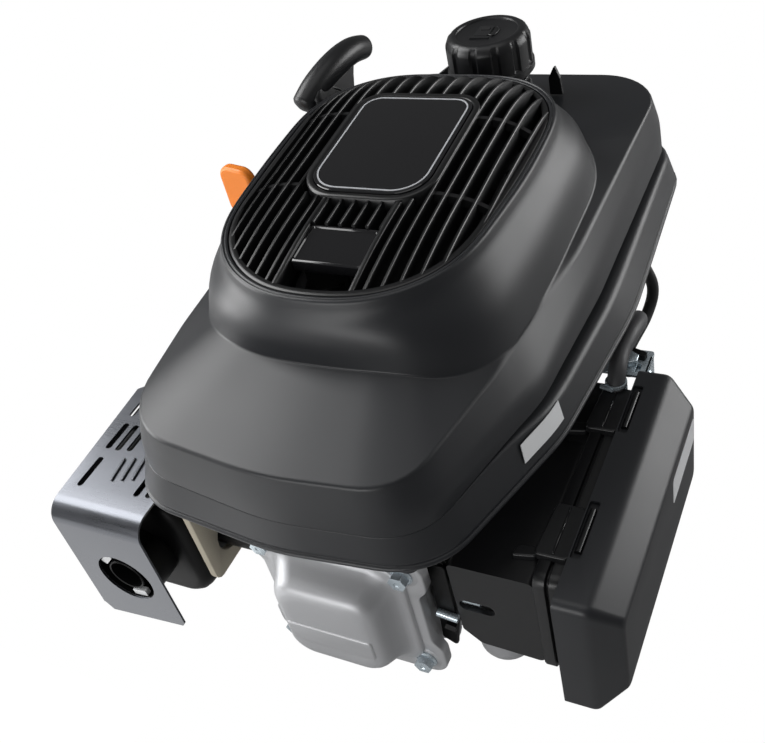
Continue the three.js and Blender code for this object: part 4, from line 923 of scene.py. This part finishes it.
def build_carburettor_side():
    """Details seen between the rocker cover and the air cleaner: bracket, stud and the float bowl."""
    outline = rounded([(60, 40, 2), (64.2, 64, 2), (64.2, 116, 2), (53, 116, 2), (52, 62, 2), (51, 46, 2)], 4)
    plate("intake_bracket", prism(outline, -161.4, -158.6, "y"), PAINT, 0.8, 2, 32)
    piece("intake_stud", *rod((53.5, -163, 74), (66, -163, 72), 2.6, 28), ZINC, sharp=40)
    piece("intake_stud_nut", *rod((57, -162.6, 63), (63, -162.6, 61.6), 3.0, 6), PAINT, sharp=30)
    x, y = 82, -139
    bowl = [(0, 23.6), (9, 23.8), (12.5, 24.4), (15.4, 26), (16.8, 29), (17.2, 33), (17.2, 54),
            (19.6, 55), (20, 56), (20, 59.4), (0, 59.4)]
    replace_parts(piece("float_bowl_cup", *lathe(bowl, 56, (x, y)), CAST, sharp=40), "float_bowl")
    screw_head("float_bowl_bolt", (x, y, 23.6), (0, 0, -1), 6.2, 9, 8)


FUEL_LINE = [(86, -125, 66), (86, -112, 64), (88, -94, 50), (92, -60, 38), (95, -20, 42), (98, 24, 60),
             (103, 62, 82), (110, 92, 94), (112, 104, 110), (104, 106, 130), (88, 122, 142), (70, 138, 150),
             (66, 140, 158), (66, 140, 165.5)]
BREATHER_LINE = [(66.6, 50, 98), (84, 54, 102), (102, 58, 112), (115, 50, 126), (120.5, 34, 137),
                 (120.5, 16, 142), (119, 0, 141), (119.6, -11, 138), (120, -17, 131), (120, -17, 126.5)]


def build_hoses():
    """The fuel line, the breather line and the clamp at the breather's upper end."""
    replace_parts(piece("fuel_line", *tube(FUEL_LINE, 4, 24, 8), RUBBER), "fuel_hose")
    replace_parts(piece("breather_line", *tube(BREATHER_LINE, 5.4, 28, 8), HOSE), "breather_hose")
    for label, low in (("upper", 131.5), ("lower", 127)):
        band = [(5.5, low), (6.5, low), (6.5, low + 2), (5.5, low + 2)]
        piece(f"breather_clamp_{label}", *ring_of(band, 40, (120, -17)), ZINC, sharp=40)
    piece("breather_clamp_screw", *rod((112, -21.5, 131.5), (120, -23.5, 131.5), 1.5, 14), ZINC, sharp=40)


def build_control_bracket():
    """A bent zinc bracket with slots, its side flange and the cable screw."""
    sheet = rounded([(134, -3.5, 2), (134, 20, 2), (100, 20, 3), (100, 18, 1), (66.3, 18, 2), (66.3, 2, 2),
                     (100, 2, 3), (103, -3.5, 4)], 4)
    top = piece("control_bracket_top", *prism(sheet, 125.2, 127), ZINC, smooth=False)
    slots = ((126.4, 129.4, -1, 7, 1.4), (108, 113, 6, 13, 2.4), (126, 130.5, 12, 17, 2))
    cut(top, [*[prism(rectangle(*slot, 4), 120, 130) for slot in slots],
              rod((122, 8, 120), (122, 8, 130), 3.2, 28)])
    soften(top, 0.35)
    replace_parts(top, "control_bracket")
    plate("control_bracket_flange", prism(rectangle(-2, 17, 111, 127, 2, 4), 132.2, 134, "x"), ZINC, 0.35)
    plate("control_bracket_foot", prism(rectangle(2, 18, 101, 127, 2, 4), 66.3, 68.1, "x"), ZINC, 0.35)
    screw_head("cable_screw", (134, 2, 122), (1, 0, 0), 3.6, 3.4, 4.6)
    clamp = prism(rounded([(118, 12, 1), (130, 10, 1), (131, 14, 1), (119, 18, 1)], 3), 127.1, 131)
    piece("cable_clamp", *clamp, PAINT, smooth=False)
    piece("cable_end", *rod((108, 15, 129), (118, 15, 129.4), 1.3, 14), ZINC, sharp=40)


def build_housing_label():
    """A plain light label on the side of the lower housing."""
    rows = []
    for share in (0.28, 0.86):
        row = []
        for k in range(25):
            y = -121 + 36 * k / 24 + 4 * share
            low, high = edge_x(RIM, y) - 0.9, edge_x(FOLD, y) + 2.6
            zf = fold_height(y)
            x = low + (high - low) * share
            z = RIM_Z + 4.5 + (zf - 2.8 - RIM_Z - 4.5) * share
            row.append((x + 0.6, y, z + 0.3))
        rows.append(row)
    under = [[(x - 0.3, y, z - 0.2) for x, y, z in row] for row in rows]
    wrap = grid([rows[0], rows[1], under[1], under[0]], close_rows=True, close_columns=False)
    piece("housing_label", *wrap, LABEL, smooth=False)


def edge_x(outline, y):
    """The outline's x on the intake side at y."""
    cuts = [x0 + (x1 - x0) * (y - y0) / (y1 - y0) for (x0, y0), (x1, y1) in
            zip(outline, outline[1:] + outline[:1]) if (y0 - y) * (y1 - y) < 0]
    return max(cuts)


# ---- carried-over parts
CARRIED = (
    (RAW_CAST, "sump crankcase cylinder_head connecting_rod"),
    (CAST, "piston carburetor_body"),
    (FIBRE, "head_gasket exhaust_heat_shield"),
    (CERAMIC, "spark_plug"),
    (RUBBER, "spark_plug_cap ignition_lead starter_rope fuel_cap_seal"),
    (SATIN, "ignition_coil starter_pulley starter_housing fuel_tank fuel_tank_lid oil_filler_tube"),
    (SATIN, "intake_insulator"),
    (STEEL, "lower_main_bearing upper_main_bearing crankshaft_lower crankshaft_upper crankpin"),
    (STEEL, "wrist_pin exhaust_pushrod exhaust_valve exhaust_rocker rocker_shaft starter_cup"),
    (STEEL, "intake_pushrod intake_valve intake_rocker recoil_spring"),
    (IRON, "camshaft flywheel"),
    (PAPER, "air_filter"),
    (ZINC, "control_lever lever_screw"),
)


def finish_carried():
    """Gives each part that is shown as packed its finish and softened edges."""
    for mat, names in CARRIED:
        for name in names.split():
            finish(nodes[name], mat)
            nodes[name].modifiers.new("weld", "WELD").merge_threshold = WELD
            soften(nodes[name], 0.6, 2, 30)


# ---- stage
CAMERA_AT = (0.2553, -0.4436, 0.5469)
CAMERA_AXES = ((0.888918, 0.411315, -0.201604), (-0.137622, 0.659598, 0.738912),
               (0.436903, -0.629087, 0.642935))          # right, up and back
LENS_MM = 47.06
FLOOR_GAP = 0.0004        # metres between the shaft's end and the floor
FLOOR_HALF = 4.0
CARD = (-0.75, -0.17, -0.95, -0.215)      # the reflector card on the floor, front left
LIGHTS = (                                # name, place, width and height in metres, watts
    ("top_left_softbox", (-1.15, 0.0, 1.25), (1.0, 0.9), 20),
    ("left_softbox", (-1.6, -0.45, 0.4), (0.8, 1.1), 19),
    ("right_rear_softbox", (1.15, 1.1, 0.5), (1.0, 0.7), 14),
    ("front_softbox", (-0.3, -1.7, 0.45), (1.3, 0.5), 11),
    ("overhead", (0.2, -0.2, 2.0), (1.6, 1.6), 7),
)


def build_camera():
    """A camera in front, above and a little to the right, without depth of field."""
    data = bpy.data.cameras.new("camera")
    data.sensor_width = 36.0
    data.lens = LENS_MM
    data.clip_start = 0.01
    camera = bpy.data.objects.new("camera", data)
    scene.collection.objects.link(camera)
    camera.matrix_world = Matrix.Translation(CAMERA_AT) @ Matrix(CAMERA_AXES).transposed().to_4x4()
    scene.camera = camera


def build_light(name, at, size, power):
    """A soft rectangular light that faces the middle of the engine."""
    data = bpy.data.lights.new(name, "AREA")
    data.shape = "RECTANGLE"
    data.size, data.size_y = size
    data.energy = power
    light = bpy.data.objects.new(name, data)
    scene.collection.objects.link(light)
    light.location = at
    middle = Vector((0, 0, 0.15))
    light.rotation_euler = (middle - Vector(at)).to_track_quat("-Z", "Y").to_euler()


def seen_and_felt(tree, seen, felt):
    """A colour that the camera sees as seen, and that lights and reflects as felt."""
    path = node(tree, "ShaderNodeLightPath")
    mix = node(tree, "ShaderNodeMix", data_type="RGBA")
    tree.links.new(path.outputs["Is Camera Ray"], mix.inputs["Factor"])
    mix.inputs[6].default_value = (felt, felt, felt, 1)
    mix.inputs[7].default_value = (seen, seen, seen, 1)
    return mix.outputs[2]


def glow(mat, seen, felt):
    """Lets a material shine with one brightness for the camera and another for all else."""
    tree = mat.node_tree
    shader = tree.nodes["Principled BSDF"]
    shader.inputs["Emission Strength"].default_value = 1
    tree.links.new(seen_and_felt(tree, seen, felt), shader.inputs["Emission Color"])


def build_sheet(name, x0, x1, y0, y1, z, mat):
    """A flat sheet that belongs to the stage, in metres."""
    mesh = bpy.data.meshes.new(name)
    mesh.from_pydata([(x0, y0, z), (x1, y0, z), (x1, y1, z), (x0, y1, z)], [], [(0, 1, 2, 3)])
    mesh.materials.append(mat)
    sheet = bpy.data.objects.new(name, mesh)
    scene.collection.objects.link(sheet)


def build_stage():
    """A plain pale floor, a card that reflects light on the left, the surroundings and the lights."""
    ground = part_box("crankshaft_lower")[0].z - FLOOR_GAP
    pale = surface("floor_pale", (0.9, 0.9, 0.9), 0.9, mottle=0.01, specular=0.0)
    tree = pale.node_tree
    tree.links.new(seen_and_felt(tree, 0.0, 0.38), tree.nodes["Principled BSDF"].inputs["Base Color"])
    glow(pale, 1.0, 0.0)
    build_sheet("floor", -FLOOR_HALF, FLOOR_HALF, -FLOOR_HALF, FLOOR_HALF, ground, pale)
    shine = surface("reflector_glow", (0, 0, 0), 1.0, mottle=0.01)
    glow(shine, 1.0, 1.3)
    build_sheet("reflector_card", *CARD, ground + 0.002, shine)
    world = bpy.data.worlds.new("world")
    world.use_nodes = True
    tree = world.node_tree
    tree.links.new(seen_and_felt(tree, 1.0, 0.14), tree.nodes["Background"].inputs["Color"])
    scene.world = world
    scene.view_settings.view_transform = "Standard"
    for row in LIGHTS:
        build_light(*row)


for build in (build_top_cover, build_blower_housing, build_grille, build_decal, build_fuel_cap,
              build_starter_handle, build_dipstick, build_top_fins, build_muffler_shield, build_muffler,
              build_rocker_cover, build_cleaner_base, build_cleaner_cover, build_carburettor_side,
              build_hoses, build_control_bracket, build_housing_label, finish_carried, build_camera,
              build_stage):
    build()
